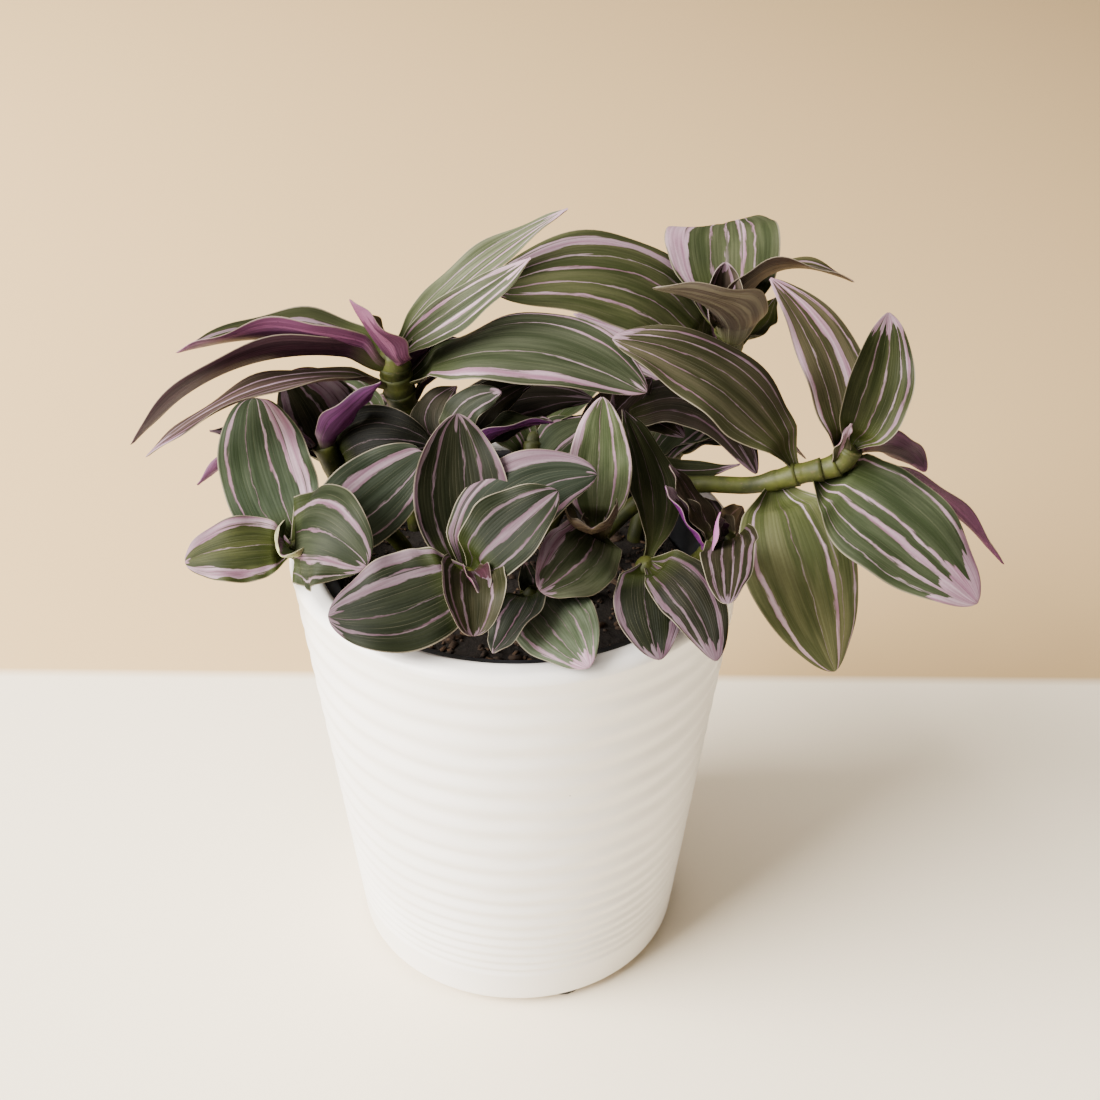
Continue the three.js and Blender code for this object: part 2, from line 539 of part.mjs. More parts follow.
// The blade as a closed solid: its middle surface thickened both ways, both faces split alike.
function blade(leaf, start) {
  const long = leaf.length > SHORT_BLADE;
  const rows = long ? BLADE_ROWS.many : BLADE_ROWS.few;
  const columns = long || leaf.cup > ROLLED_CUP ? BLADE_COLUMNS.many : BLADE_COLUMNS.few;
  const middle = bladeSurface(leaf, start, rows, columns);
  const at = (i, j) => middle[Math.min(Math.max(i, 0), rows)][Math.min(Math.max(j, 0), columns)];
  const faceNormal = (i, j) => {
    const lengthways = at(i + 1, j).clone().sub(at(i - 1, j));
    const sideways = at(i, j + 1).clone().sub(at(i, j - 1));
    return sideways.cross(lengthways).normalize();
  };
  const upper = [];
  const lower = [];
  for (let i = 0; i <= rows; i++) {
    for (let j = 0; j <= columns; j++) {
      const offset = faceNormal(i, j).multiplyScalar(BLADE_THICKNESS / 2);
      upper.push(at(i, j).clone().add(offset));
      lower.push(at(i, j).clone().sub(offset));
    }
  }
  const below = upper.length;
  const id = (i, j) => i * (columns + 1) + j;
  const faces = [];
  for (let i = 0; i < rows; i++) {
    for (let j = 0; j < columns; j++) {
      const [a, b, c, d] = [id(i, j), id(i + 1, j), id(i + 1, j + 1), id(i, j + 1)];
      faces.push(a, c, b, a, d, c);
      faces.push(a + below, b + below, c + below, a + below, c + below, d + below);
    }
  }
  const edge = (a, b) => faces.push(a, b, b + below, a, b + below, a + below);
  for (let i = 0; i < rows; i++) {
    edge(id(i, 0), id(i + 1, 0));
    edge(id(i + 1, columns), id(i, columns));
  }
  for (let j = 0; j < columns; j++) {
    edge(id(0, j + 1), id(0, j));
    edge(id(rows, j), id(rows, j + 1));
  }
  return new THREE.BufferGeometry().setFromPoints([...upper, ...lower]).setIndex(faces);
}

// ---------- stems ----------
// A stem starts straight up from its root in the soil and then passes smoothly through its points.
function stemCurve({ root, points }) {
  const way = [vec(root[0], root[1], ROOT_Z), vec(...root), ...points.map((p) => vec(...p))];
  const curve = new THREE.CatmullRomCurve3(way, false, "catmullrom", 0.5);
  const last = way.length - 1;
  return { last, at: (u) => curve.getPoint(u / last), along: (u) => curve.getTangent(u / last) };
}

function stem({ radius, leaves }, curve) {
  const stations = [0];
  for (let u = 1; u <= curve.last; u += 0.5) stations.push(u);
  const nodes = leaves.map((leaf) => curve.at(leaf.at));
  const rings = stations.map((u) => {
    const centre = curve.at(u);
    const along = u === 0 ? vec(0, 0, 1) : curve.along(u);
    const side = along.clone().cross(vec(0.3, 1, 0.1)).normalize();
    const front = along.clone().cross(side);
    const nearest = Math.min(...nodes.map((node) => node.distanceTo(centre)));
    const swell = u > 1 ? 1 + NODE_SWELL * Math.exp(-((nearest / NODE_REACH) ** 2)) : 1;
    return Array.from({ length: STEM_SIDES }, (_, j) => {
      const angle = (j / STEM_SIDES) * 2 * Math.PI;
      return centre.clone()
        .addScaledVector(side, radius * swell * Math.cos(angle))
        .addScaledVector(front, radius * swell * Math.sin(angle));
    });
  });
  const crown = curve.at(curve.last).addScaledVector(curve.along(curve.last), radius);
  return loft(rings, curve.at(0), crown);
}

// A leafy stem as one solid: the leaves' feet are sunk in the stem and joined to it. The largest
// shell is kept, so that a pocket closed in between two feet is filled.
function leafyStem(name, shoot) {
  const curve = stemCurve(shoot);
  let body = solidOf(stem(shoot, curve));
  for (const leaf of shoot.leaves) body = body.add(solidOf(blade(leaf, curve.at(leaf.at))));
  body = body.decompose().reduce((kept, shell) => (shell.volume() > kept.volume() ? shell : kept));
  const material = finish(0x66704f, 0.5);
  return piece(name, geometryOf(body), material);
}

// ---------- the whole object ----------
// Every leaf's edge waves a little, each with its own phase.
let leafCount = 0;
for (const { leaves } of Object.values(SHOOTS)) {
  for (const leaf of leaves) leaf.phase = (leafCount++ * 2.4) % (2 * Math.PI);
}

const plant = new THREE.Group();
plant.add(coverPot(), foot(0), foot(1), foot(2), nurseryPot(), soil(SHOOTS));
for (const [name, shoot] of Object.entries(SHOOTS)) plant.add(leafyStem(name, shoot));

const box = new THREE.Box3().setFromObject(plant, true);
const middle = box.getCenter(new THREE.Vector3());
plant.position.set(-middle.x, -middle.y, 0);

const model = new THREE.Group();
model.add(plant);
export default model;
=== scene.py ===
# %% [markdown]
# # A potted tradescantia
# The real thing is a trailing houseplant with fleshy stems and striped leaves. It grows in a thin black
# nursery pot, and that pot stands inside a heavier cover pot of ribbed, white-glazed stoneware on three
# rubber pads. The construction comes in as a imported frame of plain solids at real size, in metres. This
# script dresses it: it rebuilds the pot and the leaves with fine surfaces and gives each its finish.

# %% Load the frame
import math

import bpy
import numpy as np
from mathutils import Matrix, Vector, noise


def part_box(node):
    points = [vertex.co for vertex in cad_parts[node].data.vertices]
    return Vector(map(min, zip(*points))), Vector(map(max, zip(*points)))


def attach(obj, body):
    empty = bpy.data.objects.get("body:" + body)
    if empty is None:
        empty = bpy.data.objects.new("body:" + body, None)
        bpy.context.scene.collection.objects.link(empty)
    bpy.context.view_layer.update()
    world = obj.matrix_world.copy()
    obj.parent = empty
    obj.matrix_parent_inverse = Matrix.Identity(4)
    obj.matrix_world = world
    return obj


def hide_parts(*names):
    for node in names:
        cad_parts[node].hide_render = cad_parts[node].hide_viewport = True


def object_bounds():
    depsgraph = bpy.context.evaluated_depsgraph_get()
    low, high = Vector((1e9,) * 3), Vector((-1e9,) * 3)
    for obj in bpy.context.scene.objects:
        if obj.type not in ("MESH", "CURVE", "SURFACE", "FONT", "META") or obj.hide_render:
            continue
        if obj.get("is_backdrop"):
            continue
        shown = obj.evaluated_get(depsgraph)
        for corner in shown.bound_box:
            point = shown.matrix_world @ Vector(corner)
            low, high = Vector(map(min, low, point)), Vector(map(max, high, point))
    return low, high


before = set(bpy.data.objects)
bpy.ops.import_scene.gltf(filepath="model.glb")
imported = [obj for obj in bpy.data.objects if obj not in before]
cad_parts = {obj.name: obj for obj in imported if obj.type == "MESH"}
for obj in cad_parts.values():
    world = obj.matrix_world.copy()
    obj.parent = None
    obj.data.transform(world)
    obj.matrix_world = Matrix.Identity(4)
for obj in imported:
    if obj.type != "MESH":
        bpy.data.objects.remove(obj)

MM = 0.001  # metres

cad_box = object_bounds()
pot_low, pot_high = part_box("cover_pot")
axis_x, axis_y = (pot_low.x + pot_high.x) / 2, (pot_low.y + pot_high.y) / 2
print("nodes:", len(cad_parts), "pot axis at", round(axis_x, 4), round(axis_y, 4))

# %% [markdown]
# ## Camera
# The photo was taken from about half a metre away, looking down by 34 degrees, with a lens a little
# longer than normal. A camera is placed by three real things: the point it looks at, its distance and
# its elevation. A very small roll levels the pot as the photo shows it.

# %% Place the camera
LOOK_AT = (10.3, 0, 146.6)  # mm, from the pot's axis on the table
DISTANCE = 497  # mm
ELEVATION, ROLL = math.radians(34), math.radians(0.5)
FOCAL_LENGTH, SENSOR_WIDTH = 52.36, 36  # mm
NEAREST = 0.01  # metres; the camera sees nothing closer

camera_data = bpy.data.cameras.new("camera")
camera_data.lens, camera_data.sensor_width = FOCAL_LENGTH, SENSOR_WIDTH
camera_data.clip_start = NEAREST
camera = bpy.data.objects.new("camera", camera_data)
bpy.context.scene.collection.objects.link(camera)
target = Vector((axis_x, axis_y, 0)) + Vector(LOOK_AT) * MM
towards_camera = Vector((0, -math.cos(ELEVATION), math.sin(ELEVATION)))
camera.location = target + towards_camera * DISTANCE * MM
camera.rotation_mode = "QUATERNION"
camera.rotation_quaternion = (
    Matrix.Rotation(ROLL, 3, towards_camera) @ towards_camera.to_track_quat("Z", "Y").to_matrix()
).to_quaternion()
bpy.context.scene.camera = camera
print("camera at", tuple(round(c, 3) for c in camera.location))

# %% [markdown]
# ## A few small helpers
# Colours are given as sRGB hex values, but Blender's shaders work in linear light, so one
# function converts them. One helper adds a shader node with its settings and links, and one starts a
# material. One turns arrays of points and faces, in millimetres around the pot's axis, into an object.
# The last two give a soft step between two values and the faces of a grid of points.

# %% Colour, node and mesh helpers
def linear(hex_colour):
    """An sRGB hex colour as the linear RGBA that shaders use."""
    channels = [int(hex_colour[i:i + 2], 16) / 255 for i in (1, 3, 5)]
    return tuple(c / 12.92 if c <= 0.04045 else ((c + 0.055) / 1.055) ** 2.4 for c in channels) + (1.0,)


def add(tree, kind, inputs=(), out=None, **settings):
    """Adds a node. inputs, listed in order or keyed by socket, are values or the sockets that feed it.

    It returns the node, or, where out names one of its outputs, that socket.
    """
    node = tree.nodes.new("ShaderNode" + kind)
    for name, value in settings.items():
        setattr(node, name, value)
    for name, value in inputs.items() if isinstance(inputs, dict) else enumerate(inputs):
        if isinstance(value, bpy.types.NodeSocket):
            tree.links.new(value, node.inputs[name])
        else:
            node.inputs[name].default_value = value
    return node if out is None else node.outputs[out]


def new_material(name, settings):
    """A Principled material with these shader settings; returns it, its node tree and the shader."""
    material = bpy.data.materials.new(name)
    material.use_nodes = True
    shader = material.node_tree.nodes["Principled BSDF"]
    for socket, value in settings.items():
        shader.inputs[socket].default_value = value
    return material, material.node_tree, shader


def make_piece(name, points, faces, materials, slots=None, floats=None, vectors=None):
    """A smooth mesh object from points in mm around the pot's axis; it rides on the one body, root."""
    mesh = bpy.data.meshes.new(name)
    metres = np.asarray(points, float) * MM + (axis_x, axis_y, 0)
    mesh.from_pydata(metres.tolist(), [], [list(map(int, f)) for f in faces])
    mesh.polygons.foreach_set("use_smooth", [True] * len(mesh.polygons))
    for material in materials:
        mesh.materials.append(material)
    if slots is not None:
        mesh.polygons.foreach_set("material_index", np.asarray(slots, np.int32))
    for kind, table in (("FLOAT", floats), ("FLOAT_VECTOR", vectors)):
        for attribute, values in (table or {}).items():
            layer = mesh.attributes.new(attribute, kind, "POINT")
            field = "value" if kind == "FLOAT" else "vector"
            layer.data.foreach_set(field, np.asarray(values, np.float32).ravel())
    piece = bpy.data.objects.new(name, mesh)
    bpy.context.scene.collection.objects.link(piece)
    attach(piece, "root")
    return piece


def smooth(low, high, x):
    """0 below low, 1 above high, and a soft step between them."""
    k = np.clip((x - low) / (high - low), 0, 1)
    return k * k * (3 - 2 * k)


def grid_faces(rows, columns, closed):
    """Quads of a grid of points. closed joins the last column to the first."""
    i, j = np.meshgrid(np.arange(rows - 1), np.arange(columns if closed else columns - 1), indexing="ij")
    k = (j + 1) % columns
    quads = [i * columns + j, i * columns + k, (i + 1) * columns + k, (i + 1) * columns + j]
    return np.stack(quads, -1).reshape(-1, 4)


print("mid grey in linear light:", round(linear("#808080")[0], 3))

# %% [markdown]
# ## Floor and light
# A plain pale table top runs back into a warm beige, as paper behind a still life does. The beige is
# painted darker from left to right, as painted shade where the window's light falls off. The light in
# the photo comes from a large window on the left, so one wide area light stands there. A weaker one
# overhead softens the shadow on the table, as a white ceiling does, and a faint one fills the front.

# %% Build the stage
FLOOR_HALF = 1.6  # metres
BEIGE_FROM = axis_y + 0.118  # metres, where the table ends and the beige begins
EDGE_BLUR = 0.006  # metres, how softly one runs into the other
BEIGE_PAINTED_FALLOFF = 0.6  # metres to either side, over which the beige gets darker from left to right
ROOM_COLOUR, ROOM_STRENGTH = "#e9dfd0", 0.2  # light from the walls, all round

floor_material, tree, shader = new_material("painted_table_top", {"Roughness": 0.9})
place = add(tree, "NewGeometry", out="Position")
right, back, _ = add(tree, "SeparateXYZ", [place]).outputs
edge = add(tree, "MapRange", [back, BEIGE_FROM, BEIGE_FROM + EDGE_BLUR], 0)
# Painted shade: the beige gets darker from left to right, as the window's light falls off.
fade = add(tree, "MapRange", [right, -BEIGE_PAINTED_FALLOFF, BEIGE_PAINTED_FALLOFF], 0)
beige = add(tree, "Mix", {0: fade, 6: linear("#e0be88"), 7: linear("#aa8f65")}, 2, data_type="RGBA")
paint = add(tree, "Mix", {0: edge, 6: linear("#f5e9d2"), 7: beige}, 2, data_type="RGBA")
tree.links.new(paint, shader.inputs["Base Color"])
floor_mesh = bpy.data.meshes.new("table_top")
corners = [(axis_x + x * FLOOR_HALF, axis_y + y * FLOOR_HALF, 0) for x, y in
           ((-1, -1), (1, -1), (1, 1), (-1, 1))]
floor_mesh.from_pydata(corners, [], [(0, 1, 2, 3)])
floor_mesh.materials.append(floor_material)
floor = bpy.data.objects.new("table_top", floor_mesh)
bpy.context.scene.collection.objects.link(floor)
floor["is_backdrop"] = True


def area_light(name, direction, distance, size, watts, colour):
    """A square area light that faces the plant; its distance and size are in metres."""
    data = bpy.data.lights.new(name, "AREA")
    data.size, data.energy, data.color = size, watts, linear(colour)[:3]
    lamp = bpy.data.objects.new(name, data)
    bpy.context.scene.collection.objects.link(lamp)
    away = Vector(direction).normalized()
    lamp.location = target + away * distance
    lamp.rotation_euler = away.to_track_quat("Z", "Y").to_euler()


area_light("window", (-1.0, -0.42, 0.66), distance=2.4, size=1.9, watts=375, colour="#fffaf4")
area_light("ceiling", (-0.2, 0.2, 1.0), distance=2.4, size=2.6, watts=65, colour="#fff6ea")
area_light("fill", (0.2, -1.0, 0.9), distance=2.6, size=2.2, watts=5, colour="#fff1e2")
world = bpy.data.worlds.new("room")
bpy.context.scene.world = world
world.use_nodes = True
background = world.node_tree.nodes["Background"]
background.inputs["Color"].default_value = linear(ROOM_COLOUR)
background.inputs["Strength"].default_value = ROOM_STRENGTH

# %% [markdown]
# ## Glaze
# White-glazed stoneware: the glaze is a thin layer of glass over a pale body, so it is glossy but not
# mirror-like, very slightly warm, and it shows small dark iron specks. Base colour carries the specks,
# and a faint bump gives the orange-peel that fired glaze has.

# %% Glazed stoneware material
CLOUD_SIZE = 45  # mm, between paler and warmer patches of the glaze
SPECK_SPACING = 16  # mm between iron specks
BARE_CELLS, SPECK_R = 0.72, 0.045  # share of the cells without a speck; the largest speck, in cells
PEEL_SIZE, PEEL_DEPTH = 3.5, 0.0004  # mm across; metres deep

glaze, tree, shader = new_material("glazed_white_stoneware", {
    "Roughness": 0.34, "IOR": 1.5, "Coat Weight": 0.25, "Coat Roughness": 0.2})
where = add(tree, "NewGeometry", out="Position")
speck = add(tree, "TexVoronoi", {"Vector": where, "Scale": 1000 / SPECK_SPACING})
cell = add(tree, "SeparateColor", [speck.outputs["Color"]], 0)
size = add(tree, "MapRange", [cell, BARE_CELLS, 1.0, 0.0, SPECK_R], 0)
spot = add(tree, "Math", [speck.outputs["Distance"], size], 0, operation="LESS_THAN")
cloud = add(tree, "TexNoise", {"Vector": where, "Scale": 1000 / CLOUD_SIZE, "Detail": 3.0}, 0)
body = add(tree, "Mix", {0: cloud, 6: linear("#f0ece6"), 7: linear("#f6f4f0")}, 2, data_type="RGBA")
colour = add(tree, "Mix", {0: spot, 6: body, 7: linear("#5c5148")}, 2, data_type="RGBA")
tree.links.new(colour, shader.inputs["Base Color"])
peel = add(tree, "TexNoise", {"Vector": where, "Scale": 1000 / PEEL_SIZE, "Detail": 2.0}, 0)
bump = add(tree, "Bump", {"Height": peel, "Strength": 0.06, "Distance": PEEL_DEPTH}, 0)
tree.links.new(bump, shader.inputs["Normal"])
print("glaze:", glaze.name)

# %% [markdown]
# ## Cover pot
# The pot was thrown and ribbed by hand: the ribs lie close together near the foot and further apart
# near the lip, and no two are quite alike. A profile is turned round the axis, and each point of the
# outside is then pushed in or out by the rib's wave and a little noise, so the ribs waver.

# %% Turn the ribbed pot
POT_HEIGHT, POT_TOP_R, POT_BASE_R = 151.0, 70.0, 54.3  # mm
POT_UNDER = 2.3  # mm; the pads lift the pot's underside to here
POT_FLOOR, POT_WALL = 7.0, 8.0
HEEL_R, HEEL_INSET = 2.5, 6.0  # the rounded heel, and the flat underside inside it
LIP_R, THROAT_R, THROAT_Z = 3.4, 60.7, 139.5  # the lip, and the straight part of the bore below it
COVE = 6.0  # how far the bore's corner is cut off above the floor
RIB_TOP_Z, RIB_LOW_Z, RIB_RELIEF = 141.8, 13.0, 0.9
RIB_PITCH_LOW, RIB_PITCH_HIGH, PITCH_GROWS = 3.2, 9.1, (5, 95)  # and the heights it grows between
RIBS_FADE = (9, 15, 140.5, 145)  # heights where the ribs begin, are full, begin to fade and end
NECK_DEPTH, NECK_FADE = 0.35, (140, 144, 147)  # a shallow step under the lip, and its heights
WAVER, WAVER_ROUND, WAVER_UP = 0.5, 2.2, 14  # how far the ribs waver, how often round the pot, and up it
RELIEF_MEAN, RELIEF_VARIES, RELIEF_FINER = 0.85, 0.45, 1.7  # shares; times finer than the waver
WALL_LOW_Z = 6.0  # just above the rounded heel, where the rows of the outside begin
AROUND, OUTSIDE_ROWS = 240, 220  # points round the pot, and rows up its outside
ON_AXIS = 0.01  # mm; as near the axis as a ring of points goes


def pot_radius(z):
    return POT_BASE_R + (POT_TOP_R - POT_BASE_R) * z / POT_HEIGHT


def rib_crests():
    """Heights of the ribs' crests, from the top one down."""
    crests = [RIB_TOP_Z]
    while crests[-1] > RIB_LOW_Z:
        z = crests[-1]
        grown = float(smooth(*PITCH_GROWS, z))
        crests.append(z - (RIB_PITCH_LOW + (RIB_PITCH_HIGH - RIB_PITCH_LOW) * grown))
    return np.array(crests[:-1])


def arc(centre_r, centre_z, radius, start, end, steps):
    """Points of an arc in the profile, with angles in degrees from straight out."""
    angles = np.radians(np.linspace(start, end, steps))
    return [(centre_r + radius * math.cos(a), centre_z + radius * math.sin(a)) for a in angles]


def turned(profile, around):
    """Points of a profile of (radius, height) turned round the axis, one row for each profile point."""
    angle = np.linspace(0, 2 * math.pi, around, endpoint=False)
    radius, height = np.array(profile).T
    return np.stack([radius[:, None] * np.cos(angle), radius[:, None] * np.sin(angle),
                     np.repeat(height[:, None], around, 1)], -1)


def pushed(z, angle):
    """How far the ribs and the step under the lip move the outside at a height and angle, in mm."""
    spot_at = Vector((WAVER_ROUND * math.cos(angle), WAVER_ROUND * math.sin(angle), z / WAVER_UP))
    waver = WAVER * noise.noise(spot_at)
    turn = np.interp(z + waver, crests[::-1], np.arange(len(crests))[::-1])
    begin, full, fading, end = RIBS_FADE
    fade = smooth(begin, full, z) * (1 - smooth(fading, end, z))
    uneven = noise.noise(spot_at * RELIEF_FINER + Vector((5, 0, 0)))
    relief = RIB_RELIEF * (RELIEF_MEAN + RELIEF_VARIES * uneven)
    low, middle, high = NECK_FADE
    step = -NECK_DEPTH * smooth(low, middle, z) * (1 - smooth(middle, high, z))
    return step - relief * fade * (0.5 - 0.5 * math.cos(2 * math.pi * turn))


crests = rib_crests()
inside_floor = POT_UNDER + POT_FLOOR
lip_z = POT_HEIGHT - LIP_R
foot = [(ON_AXIS, POT_UNDER), (POT_BASE_R - HEEL_INSET, POT_UNDER)]
foot += arc(pot_radius(POT_UNDER + HEEL_R) - HEEL_R, POT_UNDER + HEEL_R, HEEL_R, -90, 0, 7)
outside = [(pot_radius(z), z) for z in np.linspace(WALL_LOW_Z, lip_z, OUTSIDE_ROWS)]
lip = arc(pot_radius(POT_HEIGHT) - LIP_R - 0.1, lip_z, LIP_R, 8, 90, 9)
lip += arc(THROAT_R + LIP_R, lip_z, LIP_R, 92, 180, 9)
bore = [(THROAT_R, THROAT_Z), (pot_radius(inside_floor + COVE) - POT_WALL, inside_floor + COVE),
        (pot_radius(inside_floor) - POT_WALL - 5, inside_floor), (ON_AXIS, inside_floor)]
profile = foot + outside + lip + bore
points = turned(profile, AROUND)
for row, (radius, z) in enumerate(outside, len(foot)):
    for column, angle in enumerate(np.linspace(0, 2 * math.pi, AROUND, endpoint=False)):
        points[row, column, :2] *= 1 + pushed(z, angle) / radius
faces = grid_faces(len(profile), AROUND, True)
cover_pot = make_piece("cover_pot_glazed", points.reshape(-1, 3), faces, [glaze])
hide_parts("cover_pot")
print("ribs:", len(crests), "faces:", len(cover_pot.data.polygons))

# %% [markdown]
# ## Rubber pads and nursery pot
# The pads are black moulded rubber, dull and slightly grained. The nursery pot is thin black
# polypropylene: satin, with a little dust on the rim, which is all of it that shows.

# %% Rubber and polypropylene
GRAIN_SIZE, GRAIN_DEPTH = 0.8, 0.0002  # mm across; metres deep
DUST_SIZE = 9  # mm

rubber, tree, shader = new_material("black_moulded_rubber", {"Roughness": 0.8})
where = add(tree, "NewGeometry", out="Position")
grain = add(tree, "TexNoise", {"Vector": where, "Scale": 1000 / GRAIN_SIZE, "Detail": 3.0}, 0)
tone = add(tree, "Mix", {0: grain, 6: linear("#1b1a19"), 7: linear("#2c2a28")}, 2, data_type="RGBA")
tree.links.new(tone, shader.inputs["Base Color"])
bump = add(tree, "Bump", {"Height": grain, "Strength": 0.3, "Distance": GRAIN_DEPTH}, 0)
tree.links.new(bump, shader.inputs["Normal"])
for name in ("foot_pad_1", "foot_pad_2", "foot_pad_3"):
    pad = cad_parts[name].data
    pad.materials.clear()
    pad.materials.append(rubber)

polypropylene, tree, shader = new_material("black_polypropylene", {"Roughness": 0.42})
where = add(tree, "NewGeometry", out="Position")
dust = add(tree, "TexNoise", {"Vector": where, "Scale": 1000 / DUST_SIZE, "Detail": 6.0}, 0)
thin = add(tree, "MapRange", [dust, 0.5, 0.75, 0.0, 0.5], 0)
tone = add(tree, "Mix", {0: thin, 6: linear("#202124"), 7: linear("#4c4a47")}, 2, data_type="RGBA")
tree.links.new(tone, shader.inputs["Base Color"])
print("pads and nursery pot:", rubber.name, polypropylene.name)

# %% [markdown]
# The nursery pot is turned like the cover pot, with its rim rolled over, and its drain holes are cut
# through the floor with a Boolean.

# %% Turn the nursery pot
LINER_RIM_R, LINER_RIM_Z, LINER_RIM_H = 60.4, 147.5, 7.0  # mm
LINER_BASE_R, LINER_WALL, LINER_FLOOR = 41.0, 1.4, 2.0
LINER_UNDER = inside_floor + 0.3
RIM_OVERHANG = 2.6  # how far the rim stands out from the wall
RIM_ROUND_OUT, RIM_ROUND_IN = 1.1, 0.7  # the rim's rounded edges
LINER_AROUND = 144
DRAIN_R, DRAIN_CIRCLE_R, DRAIN_COUNT = 4.0, 26.0, 6


def liner_radius(z):
    rise = (z - LINER_UNDER) / (LINER_RIM_Z - LINER_UNDER)
    return LINER_BASE_R + (LINER_RIM_R - RIM_OVERHANG - LINER_BASE_R) * rise


rim_inside = liner_radius(LINER_RIM_Z) - LINER_WALL
skirt_z = LINER_RIM_Z - LINER_RIM_H
profile = (
    [(ON_AXIS, LINER_UNDER), (LINER_BASE_R, LINER_UNDER), (liner_radius(skirt_z), skirt_z)]
    + [(LINER_RIM_R, skirt_z)]
    + arc(LINER_RIM_R - RIM_ROUND_OUT, LINER_RIM_Z - RIM_ROUND_OUT, RIM_ROUND_OUT, 0, 90, 6)
    + arc(rim_inside + RIM_ROUND_IN, LINER_RIM_Z - RIM_ROUND_IN, RIM_ROUND_IN, 90, 180, 5)
    + [(LINER_BASE_R - LINER_WALL, LINER_UNDER + LINER_FLOOR), (ON_AXIS, LINER_UNDER + LINER_FLOOR)]
)
nursery_pot = make_piece("nursery_pot_black", turned(profile, LINER_AROUND).reshape(-1, 3),
                         grid_faces(len(profile), LINER_AROUND, True), [polypropylene])
for i in range(DRAIN_COUNT):
    a = 2 * math.pi * i / DRAIN_COUNT
    hole_at = Vector((DRAIN_CIRCLE_R * math.cos(a), DRAIN_CIRCLE_R * math.sin(a), LINER_UNDER)) * MM
    bpy.ops.mesh.primitive_cylinder_add(radius=DRAIN_R * MM, depth=10 * MM, vertices=24,
                                        location=hole_at + Vector((axis_x, axis_y, 0)))
    drill = bpy.context.object
    cut = nursery_pot.modifiers.new("drain", "BOOLEAN")
    cut.object, cut.operation, cut.solver = drill, "DIFFERENCE", "FAST"
    bpy.context.view_layer.objects.active = nursery_pot
    bpy.ops.object.modifier_apply(modifier=cut.name)
    bpy.data.objects.remove(drill)
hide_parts("nursery_pot")
print("nursery pot faces:", len(nursery_pot.data.polygons))

# %% [markdown]
# ## Soil
# Potting mix is dark, damp peat with crumbs a few millimetres across and chips of brown bark. The
# surface is a disc of points lifted by noise at two scales, and the chips are small angular lumps
# scattered on it from a fixed seed, so they fall the same way every time.

# %% Peat and bark materials
CRUMB_SIZE, CRUMB_DEPTH = 2.5, 0.0012  # mm across; metres deep
BARK_GRAIN = 1.2  # mm

peat, tree, shader = new_material("damp_peat", {"Roughness": 0.95})
where = add(tree, "NewGeometry", out="Position")
crumb = add(tree, "TexNoise", {"Vector": where, "Scale": 1000 / CRUMB_SIZE, "Detail": 8.0}, 0)
tone = add(tree, "Mix", {0: crumb, 6: linear("#0b0806"), 7: linear("#221911")}, 2, data_type="RGBA")
tree.links.new(tone, shader.inputs["Base Color"])
bump = add(tree, "Bump", {"Height": crumb, "Strength": 0.9, "Distance": CRUMB_DEPTH}, 0)
tree.links.new(bump, shader.inputs["Normal"])

bark, tree, shader = new_material("brown_pine_bark", {"Roughness": 0.85})
where = add(tree, "NewGeometry")
chip_tone = add(tree, "MapRange", {0: where.outputs["Random Per Island"], 3: 0.1, 4: 1.0}, 0)
streak = add(tree, "TexNoise", {"Vector": where.outputs["Position"], "Scale": 1000 / BARK_GRAIN}, 0)
mixed = add(tree, "Math", [chip_tone, streak], 0, operation="MULTIPLY")
tone = add(tree, "Mix", {0: mixed, 6: linear("#1f150d"), 7: linear("#6b4f37")}, 2, data_type="RGBA")
tree.links.new(tone, shader.inputs["Base Color"])
print("soil:", peat.name, bark.name)

# %% Lay the soil and scatter the bark
SOIL_Z, SOIL_DOME, SOIL_BOTTOM = 136.0, 1.6, LINER_UNDER + LINER_FLOOR + 0.3  # mm
SOIL_GAP = 0.5  # between the soil and the pot's wall
SOIL_RINGS, SOIL_AROUND = 44, 96
CHIP_COUNT = 700
CHIP_SIZE, FEW_BIG = (0.6, 2.2), 2.5  # mm, half the longest side; a power that makes big chips rare
CHIP_WIDE, CHIP_THICK, CHIP_UNEVEN = (0.4, 0.8), (0.15, 0.4), (0.7, 1.1)  # shares, drawn for each
CHIP_TURN, CHIP_TILT = 6.28, 0.5  # radians
CHIP_LIFT, CHIP_SPREAD = 0.3, 0.97  # mm above the soil; share of the soil's radius
LUMPS = ((1.1, 9, 3), (0.7, 3, 8))  # mm high, mm across, and the slice of the noise, for two scales
LUMPS_REACH, LUMPS_FADE = 55, 0.6  # mm from the axis, and how much lower they are there
random = np.random.default_rng(7)


def soil_height(x, y):
    """Height of the soil's crumbly surface in mm."""
    reach = math.hypot(x, y) / LUMPS_REACH
    lumps = sum(high * noise.noise(Vector((x / size, y / size, piece))) for high, size, piece in LUMPS)
    return SOIL_Z + SOIL_DOME * (1 - reach * reach) + lumps * (1 - LUMPS_FADE * reach)


edge_r = liner_radius(SOIL_Z) - LINER_WALL - SOIL_GAP
rings = []
for r in np.linspace(ON_AXIS, edge_r, SOIL_RINGS):
    ring = [(r * math.cos(a), r * math.sin(a)) for a in np.linspace(0, 2 * math.pi, SOIL_AROUND, False)]
    rings.append([(x, y, soil_height(x, y)) for x, y in ring])
low_r = liner_radius(SOIL_BOTTOM) - LINER_WALL - SOIL_GAP
rings.append([(low_r * x / edge_r, low_r * y / edge_r, SOIL_BOTTOM) for x, y, z in rings[-1]])
rings.append([(0.01 * x, 0.01 * y, SOIL_BOTTOM) for x, y, z in rings[-2]])
lump = np.array(rings)[::-1].reshape(-1, 3)
soil = make_piece("soil_peat", lump, grid_faces(len(rings), SOIL_AROUND, True), [peat])
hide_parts("soil")

